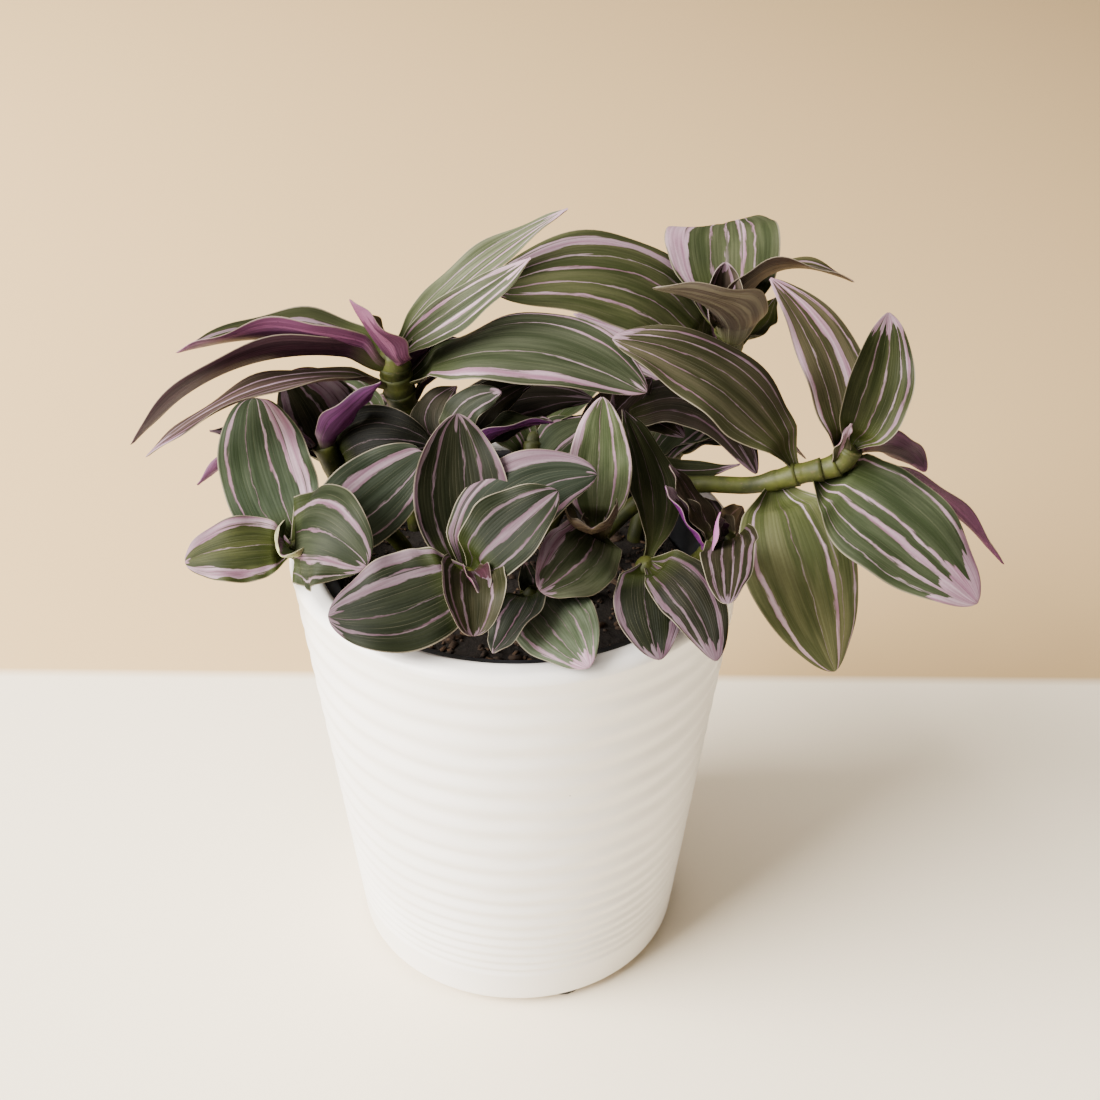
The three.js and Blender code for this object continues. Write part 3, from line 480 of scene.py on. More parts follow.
chip_points, chip_faces = [], []
box = np.array([(x, y, z) for x in (-1, 1) for y in (-1, 1) for z in (-1, 1)], float)
box_faces = [(0, 1, 3, 2), (4, 6, 7, 5), (0, 4, 5, 1), (2, 3, 7, 6), (0, 2, 6, 4), (1, 5, 7, 3)]
for _ in range(CHIP_COUNT):
    r, a = edge_r * CHIP_SPREAD * math.sqrt(random.random()), random.random() * 2 * math.pi
    x, y = r * math.cos(a), r * math.sin(a)
    half = CHIP_SIZE[0] + (CHIP_SIZE[1] - CHIP_SIZE[0]) * random.random() ** FEW_BIG
    shape = box * (half, half * random.uniform(*CHIP_WIDE), half * random.uniform(*CHIP_THICK))
    shape = shape * random.uniform(*CHIP_UNEVEN, shape.shape)
    turn = Matrix.Rotation(random.uniform(0, CHIP_TURN), 3, "Z")
    turn = turn @ Matrix.Rotation(random.uniform(-CHIP_TILT, CHIP_TILT), 3, "X")
    start = len(chip_points)
    chip_points += [Vector((x, y, soil_height(x, y) + CHIP_LIFT)) + turn @ Vector(p) for p in shape]
    chip_faces += [tuple(start + i for i in face) for face in box_faces]
chips = make_piece("bark_chips", chip_points, chip_faces, [bark])
print("soil faces:", len(soil.data.polygons), "bark chips:", CHIP_COUNT)

# %% [markdown]
# ## Leaf shape
# A tradescantia leaf is a plain oval blade whose foot clasps the stem. Its rib is a curve in space, and
# the blade curls across it like part of a tube: edges up (cup above 0) or edges down (cup below 0). The
# solids in the frame use the same rule with few points, so a leaf made here from the same numbers lies
# in the same place. What is added is fine: a groove along the rib, closer waves and a thin rolled edge.

# %% One leaf blade
SHEATH_WIDTH = 5.0  # mm, width of the foot
EDGE_MIN = 0.8  # mm, width at the very tip
BLADE_THICKNESS = 0.62  # mm; fleshy, but thinner than the frame's solids
GROOVE_DEPTH, GROOVE_WIDTH = 0.3, 1.6  # mm, along the rib
WAVE_HEIGHT, RIPPLE_HEIGHT = 0.8, 0.22  # mm, how far the edges rise and fall
WAVES, RIPPLES = 5 * math.pi, 17  # radians from foot to tip
TIGHTEST_CURL, FLATTEST_CURL = 1.2, 0.01  # mm, radius; radians across the blade
FOOT_WIDEST, FOOT_FADE = 0.7, 1.3  # share of the blade's width, and the power it narrows by
EDGE_ROUND = 5  # power; the higher, the later the blade thins towards its edge
FOOT_END, FREE_FROM, CLASP_END = 0.3, 0.16, 0.25  # places along the blade, from 0 to 1
TWIST_FROM, TIP_FROM = 0.2, 0.4
RUFFLE_RISE, RUFFLE_FADE = (0.1, 0.4), (0.85, 1)
ROWS, HALF_COLUMNS = 44, 11
PLAIN_LEAF = {"arch": 0, "sway": 0, "roll": 0, "twist": 0, "cup": 40, "clasp": 170, "blunt": 0.85,
              "belly": 0.8, "wild": 2.5, "tip": 0.93, "green": "#2b3220", "stain": "#352230"}


def unit(v):
    return v / np.linalg.norm(v, axis=-1, keepdims=True)


def leaf_axes(heading, rise, roll):
    """Directions along the leaf, up from its face and to its side; angles in degrees."""
    h, r, turn = np.radians([heading, rise, roll])
    along = np.array([math.cos(r) * math.cos(h), math.cos(r) * math.sin(h), math.sin(r)])
    up = np.array([-math.sin(r) * math.cos(h), -math.sin(r) * math.sin(h), math.cos(r)])
    side = np.cross(along, up)
    return along, up * math.cos(turn) + side * math.sin(turn), side * math.cos(turn) - up * math.sin(turn)


def blade_frame(leaf, start, tt):
    """The rib's points, and the directions out of the blade's face and across it, for places tt."""
    along, up, side = leaf_axes(leaf["heading"], leaf["rise"], leaf["roll"])
    tip = start + along * leaf["length"]
    bend = (start + tip) / 2 + up * 2 * leaf["arch"] + side * 2 * leaf["sway"]
    rib = (1 - tt) ** 2 * start + 2 * tt * (1 - tt) * bend + tt ** 2 * tip
    tangent = unit(2 * (1 - tt) * (bend - start) + 2 * tt * (tip - bend))
    twist = np.radians(leaf["twist"]) * smooth(TWIST_FROM, 1, tt)
    normal = up * np.cos(twist) + side * np.sin(twist)
    normal = unit(normal - (normal * tangent).sum(-1, keepdims=True) * tangent)
    return rib, normal, np.cross(tangent, normal)


def blade_section(leaf, t):
    """The blade's width in mm and the arc across it in radians, at places t along it."""
    width, cup, clasp, blunt = leaf["width"], leaf["cup"], leaf["clasp"], leaf["blunt"]
    place = t ** leaf["belly"]
    oval = np.maximum(np.sin(math.pi * place), 0) ** np.where(place < 0.5, leaf.get("foot", blunt), blunt)
    foot = min(SHEATH_WIDTH / width, FOOT_WIDEST) * np.maximum(1 - t / FOOT_END, 0) ** FOOT_FADE
    spread = np.maximum(width * np.hypot(np.where(t > 0, oval, 0), foot), EDGE_MIN)
    curl = clasp + (cup - clasp) * smooth(0, CLASP_END, t)
    curl = np.radians(curl + (leaf.get("cup_tip", 0.6 * cup) - cup) * smooth(TIP_FROM, 1, t))
    curl = np.clip(curl, -spread / TIGHTEST_CURL, spread / TIGHTEST_CURL)
    return spread, np.where(np.abs(curl) < FLATTEST_CURL, FLATTEST_CURL, curl)


def blade_surface(leaf, start, phase):
    """Middle surface of the blade: points, and how far along (t) and across (s) each of them is."""
    t = (1 - np.cos(np.linspace(0, math.pi, ROWS))) / 2 * 0.5 + np.linspace(0, 1, ROWS) * 0.5
    s = np.sin(np.linspace(-math.pi / 2, math.pi / 2, 2 * HALF_COLUMNS + 1))
    tt = t[:, None]
    rib, normal, across = blade_frame(leaf, start, tt)
    spread, curl = blade_section(leaf, t)
    radius = spread / curl
    angle = s * curl[:, None] / 2
    lift = radius[:, None] * (1 - np.cos(angle)) - (radius * (1 - smooth(0, FREE_FROM, t)))[:, None]
    ease = (smooth(*RUFFLE_RISE, t) * (1 - smooth(*RUFFLE_FADE, t)))[:, None]
    wave = np.sin(WAVES * tt + phase + 0.9 * np.sign(s))
    ripple = np.sin(RIPPLES * tt + 2.1 * phase + 2.0 * np.sign(s))
    lift = lift + ease * (WAVE_HEIGHT * s * s * wave + RIPPLE_HEIGHT * np.abs(s) ** 3 * ripple)
    lift = lift - GROOVE_DEPTH * ease * np.exp(-(s * spread[:, None] / GROOVE_WIDTH) ** 2)
    points = rib[:, None] + across[:, None] * (radius[:, None] * np.sin(angle))[..., None]
    points = points + normal[:, None] * lift[..., None]
    return points, np.broadcast_to(tt, lift.shape), np.broadcast_to(s, lift.shape)


def blade(leaf, start, phase):
    """Upper and lower skins of the blade, which meet in a fine edge all round."""
    middle, t, s = blade_surface(leaf, start, phase)
    face = unit(np.cross(np.gradient(middle, axis=1), np.gradient(middle, axis=0)))
    half = BLADE_THICKNESS / 2 * np.sqrt(np.clip(1 - np.abs(s) ** EDGE_ROUND, 0, 1))[..., None]
    half[0], half[-1] = 0, 0
    rows, columns = t.shape
    points = np.concatenate([(middle + face * half).reshape(-1, 3), (middle - face * half).reshape(-1, 3)])
    upper = grid_faces(rows, columns, False)
    lower = upper[:, ::-1] + rows * columns
    return points, upper, lower, np.tile(t.ravel(), 2), np.tile(s.ravel(), 2)


print("faces in a blade:", 2 * len(grid_faces(ROWS, 2 * HALF_COLUMNS + 1, False)))

# %% [markdown]
# ## Stem shape
# The stems are round, fleshy and jointed. A smooth curve runs through the joints, a ring of points is
# carried along it, and the ring swells a little at each joint, where a leaf's sheath wraps the stem as a
# short open cuff. The cuffs are lofted the same way, a little wider than the stem.

# %% One stem with its sheaths
ROOT_Z = 116.0  # mm, the stem's lower end, in its hole in the soil
SOIL_TOP_Z = 138.0  # mm, where the stems leave the soil
STEM_SIDES = 18
STEP = 0.9  # mm between rings, about
NODE_SWELL, NODE_REACH = 0.24, 3.0  # share of the radius; mm along the stem
STEM_TIP = (0.92, 0.7, 0.04)  # shares of the radius at the last three rings
CUFF_LENGTH, CUFF_BELOW, CUFF_CLEARANCE, CUFF_FLARE = 8.0, 1.0, 0.15, 0.7  # mm
CUFF_OUTSIDE, CUFF_INSIDE = 1.1, 1.02  # shares of the stem's radius
CUFF_RINGS = 8
CURVE_SAMPLES = 200


def stem_curve(shoot):
    """A function from a place counted in joints to a point on the stem (a Catmull-Rom curve)."""
    x, y = shoot["root"]
    way = np.array([(x, y, ROOT_Z), (x, y, SOIL_TOP_Z)] + shoot["points"], float)
    padded = np.vstack([2 * way[0] - way[1], way, 2 * way[-1] - way[-2]])

    def at(u):
        i = int(min(max(u, 0), len(way) - 1 - 1e-9))
        f = u - i
        a, b, c, d = padded[i:i + 4]
        return 0.5 * (2 * b + (c - a) * f + (2 * a - 5 * b + 4 * c - d) * f ** 2
                      + (3 * b - a - 3 * c + d) * f ** 3)

    return at, len(way) - 1


def tube(centres, radii):
    """Rings of points carried along a line of centres without twisting."""
    along = unit(np.gradient(centres, axis=0))
    side = np.cross(along[0], (0.3, 1, 0.1))  # any direction across the first stretch
    angle = np.linspace(0, 2 * math.pi, STEM_SIDES, endpoint=False)[:, None]
    rings = []
    for centre, direction, radius in zip(centres, along, radii):
        side = unit(side - (side @ direction) * direction)
        front = np.cross(direction, side)
        rings.append(centre + radius * (side * np.cos(angle) + front * np.sin(angle)))
    return np.array(rings)


def stem(shoot):
    """Points and faces of a stem, and of the cuffs round it."""
    at, last = stem_curve(shoot)
    samples = np.linspace(0, last, CURVE_SAMPLES)
    rough = np.array([at(u) for u in samples])
    reach = np.concatenate([[0], np.cumsum(np.linalg.norm(np.diff(rough, axis=0), axis=1))])
    stations = np.interp(np.arange(0, reach[-1], STEP), reach, samples)
    centres = np.array([at(u) for u in stations])
    joints = np.array([at(leaf["at"]) for leaf in shoot["leaves"]])
    near = np.linalg.norm(centres[:, None] - joints[None], axis=2).min(1)
    radii = shoot["radius"] * (1 + NODE_SWELL * np.exp(-(near / NODE_REACH) ** 2))
    radii[-3:] *= STEM_TIP
    rings = tube(centres, radii)
    points, faces = [rings.reshape(-1, 3)], [grid_faces(len(rings), STEM_SIDES, True)]
    count = len(points[0])
    lengths = np.arange(len(stations)) * STEP
    for leaf in shoot["leaves"]:
        begin = np.interp(leaf["at"], stations, lengths)
        if begin + CUFF_LENGTH > reach[-1]:
            continue
        cuff_at = begin - CUFF_BELOW + np.linspace(0, CUFF_LENGTH, CUFF_RINGS)
        cuff_u = np.interp(cuff_at, lengths, stations)
        line = np.array([at(u) for u in cuff_u])
        flare = CUFF_FLARE * np.linspace(0, 1, CUFF_RINGS) ** 2
        outer = tube(line, shoot["radius"] * CUFF_OUTSIDE + CUFF_CLEARANCE + flare)
        inner = tube(line[::-1], shoot["radius"] * CUFF_INSIDE + flare[::-1])
        cuff = np.concatenate([outer, inner])
        points.append(cuff.reshape(-1, 3))
        faces.append(grid_faces(len(cuff), STEM_SIDES, True) + count)
        count += len(points[-1])
    return np.concatenate(points), np.concatenate(faces)


print("stem sides:", STEM_SIDES)

# %% [markdown]
# ## Leaf colour
# The leaf is variegated: some of its tissue has no green in it, so lengthwise bands show pale pink. The
# bands follow the parallel veins, which meet at the foot and the tip. Each blade therefore carries two
# numbers on every point, how far along it lies (0 to 1) and how far across (-1 to 1), and each leaf its
# own list of bands. The shader measures the distance from the nearest band, makes its edge ragged with
# noise that is drawn out along the veins, and lets the pink flood the last part before the tip.

# %% Where the bands and the veins run
BAND_SETS = ("band_1", "band_2")  # three bands in each: their places across, and their half widths
VEINS_ACROSS = 13  # fine veins on half a blade
VEIN_RELIEF = 0.00025  # metres
WANDER, RAGGED = 0.03, 0.028  # half widths of a blade: how far a band wanders, and its edge frays
SWELLS, SET_STEP = 2.6, 7.0  # how often a band swells along the blade; keeps the two sets apart
TAPER = (0.0, 0.85, 0.5, 1.25)  # from foot to tip the bands go from half their width to a bit over it
SOFT_EDGE = (0.006, -0.02)  # half widths of a blade, from just outside a band to just inside it


def blade_numbers(tree):
    """What a leaf's points carry: along, across, and the leaf's own seed, wildness and start of tip."""
    along = add(tree, "Attribute", out="Fac", attribute_name="along")
    across = add(tree, "Attribute", out="Fac", attribute_name="across")
    look = add(tree, "Attribute", out="Vector", attribute_name="look")
    return (along, across, *add(tree, "SeparateXYZ", [look]).outputs)


def along_veins(tree, numbers, grain, *limits):
    """Noise drawn out along the veins, new for each leaf, taken from low..high to another low..high.

    grain is how fine it is across the blade and along it, and how many layers of detail it has.
    """
    t, s, seed = numbers[:3]
    across = add(tree, "Math", [s, grain[0]], 0, operation="MULTIPLY")
    along = add(tree, "Math", [t, grain[1]], 0, operation="MULTIPLY")
    where = add(tree, "CombineXYZ", [across, along, seed], 0)
    pattern = add(tree, "TexNoise", {"Vector": where, "Scale": 1.0, "Detail": grain[2]}, 0)
    return add(tree, "MapRange", [pattern, *limits], 0)


def band_distances(tree, numbers, place, names):
    """How far a place lies outside each of three bands, whose widths swell and thin as they run."""
    t, _, seed, wild, _ = numbers
    run = add(tree, "Math", [t, SWELLS], 0, operation="MULTIPLY")
    run = add(tree, "CombineXYZ", [run, seed, SET_STEP * BAND_SETS.index(names)], 0)
    swell = add(tree, "TexNoise", {"Vector": run, "Scale": 1.0, "Detail": 1.0}, "Color")
    swell = add(tree, "VectorMath", [swell, (-0.5, -0.5, -0.5)], 0, operation="ADD")
    swell = add(tree, "VectorMath", {0: swell, "Scale": wild}, 0, operation="SCALE")
    swell = add(tree, "VectorMath", [swell, (1.0, 1.0, 1.0)], 0, operation="ADD")
    taper = add(tree, "MapRange", [t, *TAPER], 0)
    half = add(tree, "Attribute", out="Vector", attribute_name=names + "_half")
    half = add(tree, "VectorMath", [half, swell], 0, operation="MULTIPLY")
    half = add(tree, "VectorMath", {0: half, "Scale": taper}, 0, operation="SCALE")
    middle = add(tree, "Attribute", out="Vector", attribute_name=names + "_place")
    off = add(tree, "VectorMath", [place, middle], 0, operation="SUBTRACT")
    off = add(tree, "VectorMath", [off], 0, operation="ABSOLUTE")
    off = add(tree, "VectorMath", [off, half], 0, operation="SUBTRACT")
    return add(tree, "SeparateXYZ", [off]).outputs


def pale_bands(tree, numbers):
    """1 where the tissue has no green: in the bands, apart from thin green streaks, and at the tip."""
    t, s, _, _, tip = numbers
    ragged = along_veins(tree, numbers, (14.0, 9.0, 4.0), 0.3, 0.7, -RAGGED, RAGGED)
    wander = along_veins(tree, numbers, (1.0, 3.0, 1.0), 0.3, 0.7, -WANDER, WANDER)
    place = add(tree, "Math", [s, ragged], 0, operation="ADD")
    place = add(tree, "Math", [place, wander], 0, operation="ADD")
    place = add(tree, "CombineXYZ", [place] * 3, 0)
    nearest = 1.0
    for names in BAND_SETS:
        for distance in band_distances(tree, numbers, place, names):
            nearest = add(tree, "Math", [nearest, distance], 0, operation="MINIMUM")
    in_band = add(tree, "MapRange", [nearest, *SOFT_EDGE, 0.0, 1.0], 0)
    streak = along_veins(tree, numbers, (15.0, 1.3, 2.0), 0.60, 0.65, 1.0, 0.15)
    in_band = add(tree, "Math", [in_band, streak], 0, operation="MULTIPLY")
    tongues = along_veins(tree, numbers, (3.4, 0.8, 3.0), 0.25, 0.75, -0.13, 0.13)
    flood = add(tree, "Math", [t, tip], 0, operation="SUBTRACT")
    flood = add(tree, "Math", [flood, tongues], 0, operation="ADD")
    flood = add(tree, "MapRange", [flood, -0.006, 0.006, 0.0, 1.0], 0)
    return add(tree, "Math", [in_band, flood], 0, operation="MAXIMUM")


def veins(tree, numbers, depth):
    """Fine parallel veins: their ridges as a height, and a normal that shows them."""
    uneven = along_veins(tree, numbers, (5.0, 0.4, 1.0), 0.3, 0.7, -0.5, 0.5)
    wave = add(tree, "Math", [numbers[1], VEINS_ACROSS * math.pi], 0, operation="MULTIPLY")
    wave = add(tree, "Math", [wave, uneven], 0, operation="ADD")
    ridge = add(tree, "Math", [add(tree, "Math", [wave], 0, operation="SINE")], 0, operation="ABSOLUTE")
    fibres = along_veins(tree, numbers, (20.0, 3.0, 2.0), 0.0, 1.0, 0.0, 1.5)
    height = add(tree, "Math", [ridge, fibres], 0, operation="ADD")
    return ridge, add(tree, "Bump", {"Height": height, "Strength": depth, "Distance": VEIN_RELIEF}, 0)


def margin(tree, numbers):
    """Above 0 along the thin pale line that edges these leaves."""
    edge = add(tree, "Math", [numbers[1]], 0, operation="ABSOLUTE")
    return add(tree, "MapRange", [edge, 0.965, 0.99, 0.0, 0.6], 0)


print("bands on a leaf, at most:", 3 * len(BAND_SETS))

# %% [markdown]
# ## Upper side of the leaves
# The face of the leaf is satin: living skin over water-filled cells, which scatter light so that the
# green looks a little chalky. It is mottled in lengthwise patches and fine lines, and greener towards
# the foot. The pink in the bands is dimmed on leaves whose green is dark, so it carries their painted
# shade as well.

# %% Variegated upper skin
CELL_SIZE = 0.9  # mm; real skin cells are finer, but then the grain wouldn't show in the render
GREEN_DEEP, GREEN_CHALKY = (0.62, 0.68, 0.6), (1.35, 1.3, 1.45)  # shares of the leaf's own green
GREEN_RANGE, PINK_RANGE = (0.01, 0.045), (0.36, 1.18)  # green channel of the tissue; strength of the pink

upper_skin, tree, shader = new_material("variegated_leaf_upper", {
    "Roughness": 0.5, "Specular IOR Level": 0.07})
numbers = blade_numbers(tree)
tissue = add(tree, "Attribute", out="Vector", attribute_name="green")
deep = add(tree, "VectorMath", [tissue, GREEN_DEEP], 0, operation="MULTIPLY")
chalky = add(tree, "VectorMath", [tissue, GREEN_CHALKY], 0, operation="MULTIPLY")
mottle = along_veins(tree, numbers, (4.2, 1.7, 5.0), 0.40, 0.62, 0.0, 1.0)
green = add(tree, "Mix", {0: mottle, 6: deep, 7: chalky}, 2, data_type="RGBA")
lines = along_veins(tree, numbers, (30.0, 1.5, 3.0), 0.35, 0.65, 0.84, 1.12)
green = add(tree, "VectorMath", {0: green, "Scale": lines}, 0, operation="SCALE")
foot = add(tree, "MapRange", [numbers[0], 0.02, 0.3, 0.6, 0.0], 0)
green = add(tree, "Mix", {0: foot, 6: green, 7: linear("#353d14")}, 2, data_type="RGBA")

pale = along_veins(tree, numbers, (8.0, 2.0, 2.0), 0.35, 0.65, 0.0, 1.0)
pink = add(tree, "Mix", {0: pale, 6: linear("#745465"), 7: linear("#96818c")}, 2, data_type="RGBA")
# Partly painted shade: the pink is dimmed on leaves with dark green, which are mostly leaves in shade.
pink_level_and_painted_shade = add(tree, "SeparateXYZ", [tissue], 1)
pink_level_and_painted_shade = add(tree, "MapRange", [pink_level_and_painted_shade, *GREEN_RANGE, *PINK_RANGE], 0)
pink = add(tree, "VectorMath", {0: pink, "Scale": pink_level_and_painted_shade}, 0, operation="SCALE")
colour = add(tree, "Mix", {0: pale_bands(tree, numbers), 6: green, 7: pink}, 2, data_type="RGBA")

ridge, bump = veins(tree, numbers, 0.15)
vein = add(tree, "MapRange", [ridge, 0.0, 0.16, 1.0, 0.0], 0)
patches = along_veins(tree, numbers, (9.0, 2.5, 1.0), 0.5, 0.62, 0.0, 0.5)
vein = add(tree, "Math", [vein, patches], 0, operation="MULTIPLY")
position = add(tree, "NewGeometry", out="Position")
cells = add(tree, "TexVoronoi", {"Vector": position, "Scale": 1000 / CELL_SIZE}, "Distance")
cells = add(tree, "MapRange", [cells, 0.0, 0.7, 0.10, 0.0], 0)
for share, tint in ((vein, "#5f5c4b"), (cells, "#20261a"), (margin(tree, numbers), "#8d8474")):
    colour = add(tree, "Mix", {0: share, 6: colour, 7: linear(tint)}, 2, data_type="RGBA")
tree.links.new(colour, shader.inputs["Base Color"])
tree.links.new(bump, shader.inputs["Normal"])
print("upper skin nodes:", len(tree.nodes))

# %% [markdown]
# ## Underside of the leaves
# The underside has no chalky green: it is stained purple, from bright magenta to maroon, and the same
# bands show through it paler. Each leaf carries its own stain colour. It is a little smoother than the
# face, so it shines more at a low angle.

# %% Purple under skin
SPECK_SIZE = 2.2  # mm between the dark specks
STAIN_DARK, STAIN_PALE = (0.5, 0.45, 0.5), (1.7, 1.9, 1.7)  # shares of the leaf's own stain

under_skin, tree, shader = new_material("purple_leaf_underside", {
    "Roughness": 0.45, "Specular IOR Level": 0.15})
numbers = blade_numbers(tree)
stain = add(tree, "Attribute", out="Vector", attribute_name="stain")
dark = add(tree, "VectorMath", [stain, STAIN_DARK], 0, operation="MULTIPLY")
pale = add(tree, "VectorMath", [stain, STAIN_PALE], 0, operation="MULTIPLY")
shade = along_veins(tree, numbers, (4.0, 1.0, 2.0), 0.38, 0.66, 0.0, 1.0)
bands = add(tree, "Math", [pale_bands(tree, numbers), 0.8], 0, operation="MULTIPLY")
streak = along_veins(tree, numbers, (12.0, 1.5, 3.0), 0.5, 0.66, 0.0, 0.5)
position = add(tree, "NewGeometry", out="Position")
specks = add(tree, "TexVoronoi", {"Vector": position, "Scale": 1000 / SPECK_SIZE}, "Distance")
specks = add(tree, "MapRange", [specks, 0.08, 0.16, 0.4, 0.0], 0)
foot = add(tree, "MapRange", [numbers[0], 0.02, 0.16, 0.9, 0.0], 0)
colour = stain
for share, tint in ((shade, dark), (bands, pale), (streak, pale), (specks, linear("#1e1018")),
                    (margin(tree, numbers), linear("#8d8474")), (foot, linear("#3a4119"))):
    colour = add(tree, "Mix", {0: share, 6: colour, 7: tint}, 2, data_type="RGBA")
tree.links.new(colour, shader.inputs["Base Color"])
ridge, bump = veins(tree, numbers, 0.25)
tree.links.new(bump, shader.inputs["Normal"])
print("under skin nodes:", len(tree.nodes))

# %% [markdown]
# ## Stems
# The stems are plain olive green, a little blotched, with fine brown flecks and a waxy surface that is
# duller than the glaze.

# %% Fleshy stem material
BLOTCH_SIZE, FLECK_SIZE, FLECK_DEPTH = 7, 1.1, 0.0003  # mm, mm; metres

stem_skin, tree, shader = new_material("fleshy_green_stem", {
    "Roughness": 0.55, "Specular IOR Level": 0.25})
where = add(tree, "NewGeometry", out="Position")
blotch = add(tree, "TexNoise", {"Vector": where, "Scale": 1000 / BLOTCH_SIZE, "Detail": 4.0}, 0)
blotch = add(tree, "MapRange", [blotch, 0.35, 0.65, 0.0, 1.0], 0)
colour = add(tree, "Mix", {0: blotch, 6: linear("#262a11"), 7: linear("#434719")}, 2, data_type="RGBA")
fleck = add(tree, "TexNoise", {"Vector": where, "Scale": 1000 / FLECK_SIZE, "Detail": 2.0}, 0)
brown = add(tree, "MapRange", [fleck, 0.6, 0.72, 0.0, 0.35], 0)
colour = add(tree, "Mix", {0: brown, 6: colour, 7: linear("#5d4c38")}, 2, data_type="RGBA")
tree.links.new(colour, shader.inputs["Base Color"])
bump = add(tree, "Bump", {"Height": fleck, "Strength": 0.2, "Distance": FLECK_DEPTH}, 0)
tree.links.new(bump, shader.inputs["Normal"])
print("plant materials:", [m.name for m in (upper_skin, under_skin, stem_skin)])

# %% [markdown]
# ## The leaves, one by one
# Every row is one leaf, laid out as in the frame. It begins with its place on the stem, counted in
# joints from the buried end, its heading and rise in degrees, and its length and width in mm. arch and
# sway bend it upwards and sideways, in mm. roll, twist, cup (the arc across it), cup_tip and clasp (the
# same arc at the tip and the foot) are in degrees; blunt, foot and belly shape its outline. bands holds
# the place across and the half width of each pink band, tip says where the pink begins to flood the
# end and wild how much the bands swell. green is the colour of the tissue
# between the bands and stain that of the underside. Both began as colours in the photo and were then
# divided by the light that falls on that leaf, so that it looks the same under these lamps. What a row
# leaves out is as in PLAIN_LEAF.

# %% The fifteen shoots
THICK, MIDDLE, THIN = 3.8, 3.0, 2.6  # mm, the stems' radii


def leaf(at, heading, rise, length, width, **more):
    """One row of the list: where a leaf sits, which way it points, its size, and what isn't plain."""
    return PLAIN_LEAF | dict(at=at, heading=heading, rise=rise, length=length, width=width) | more
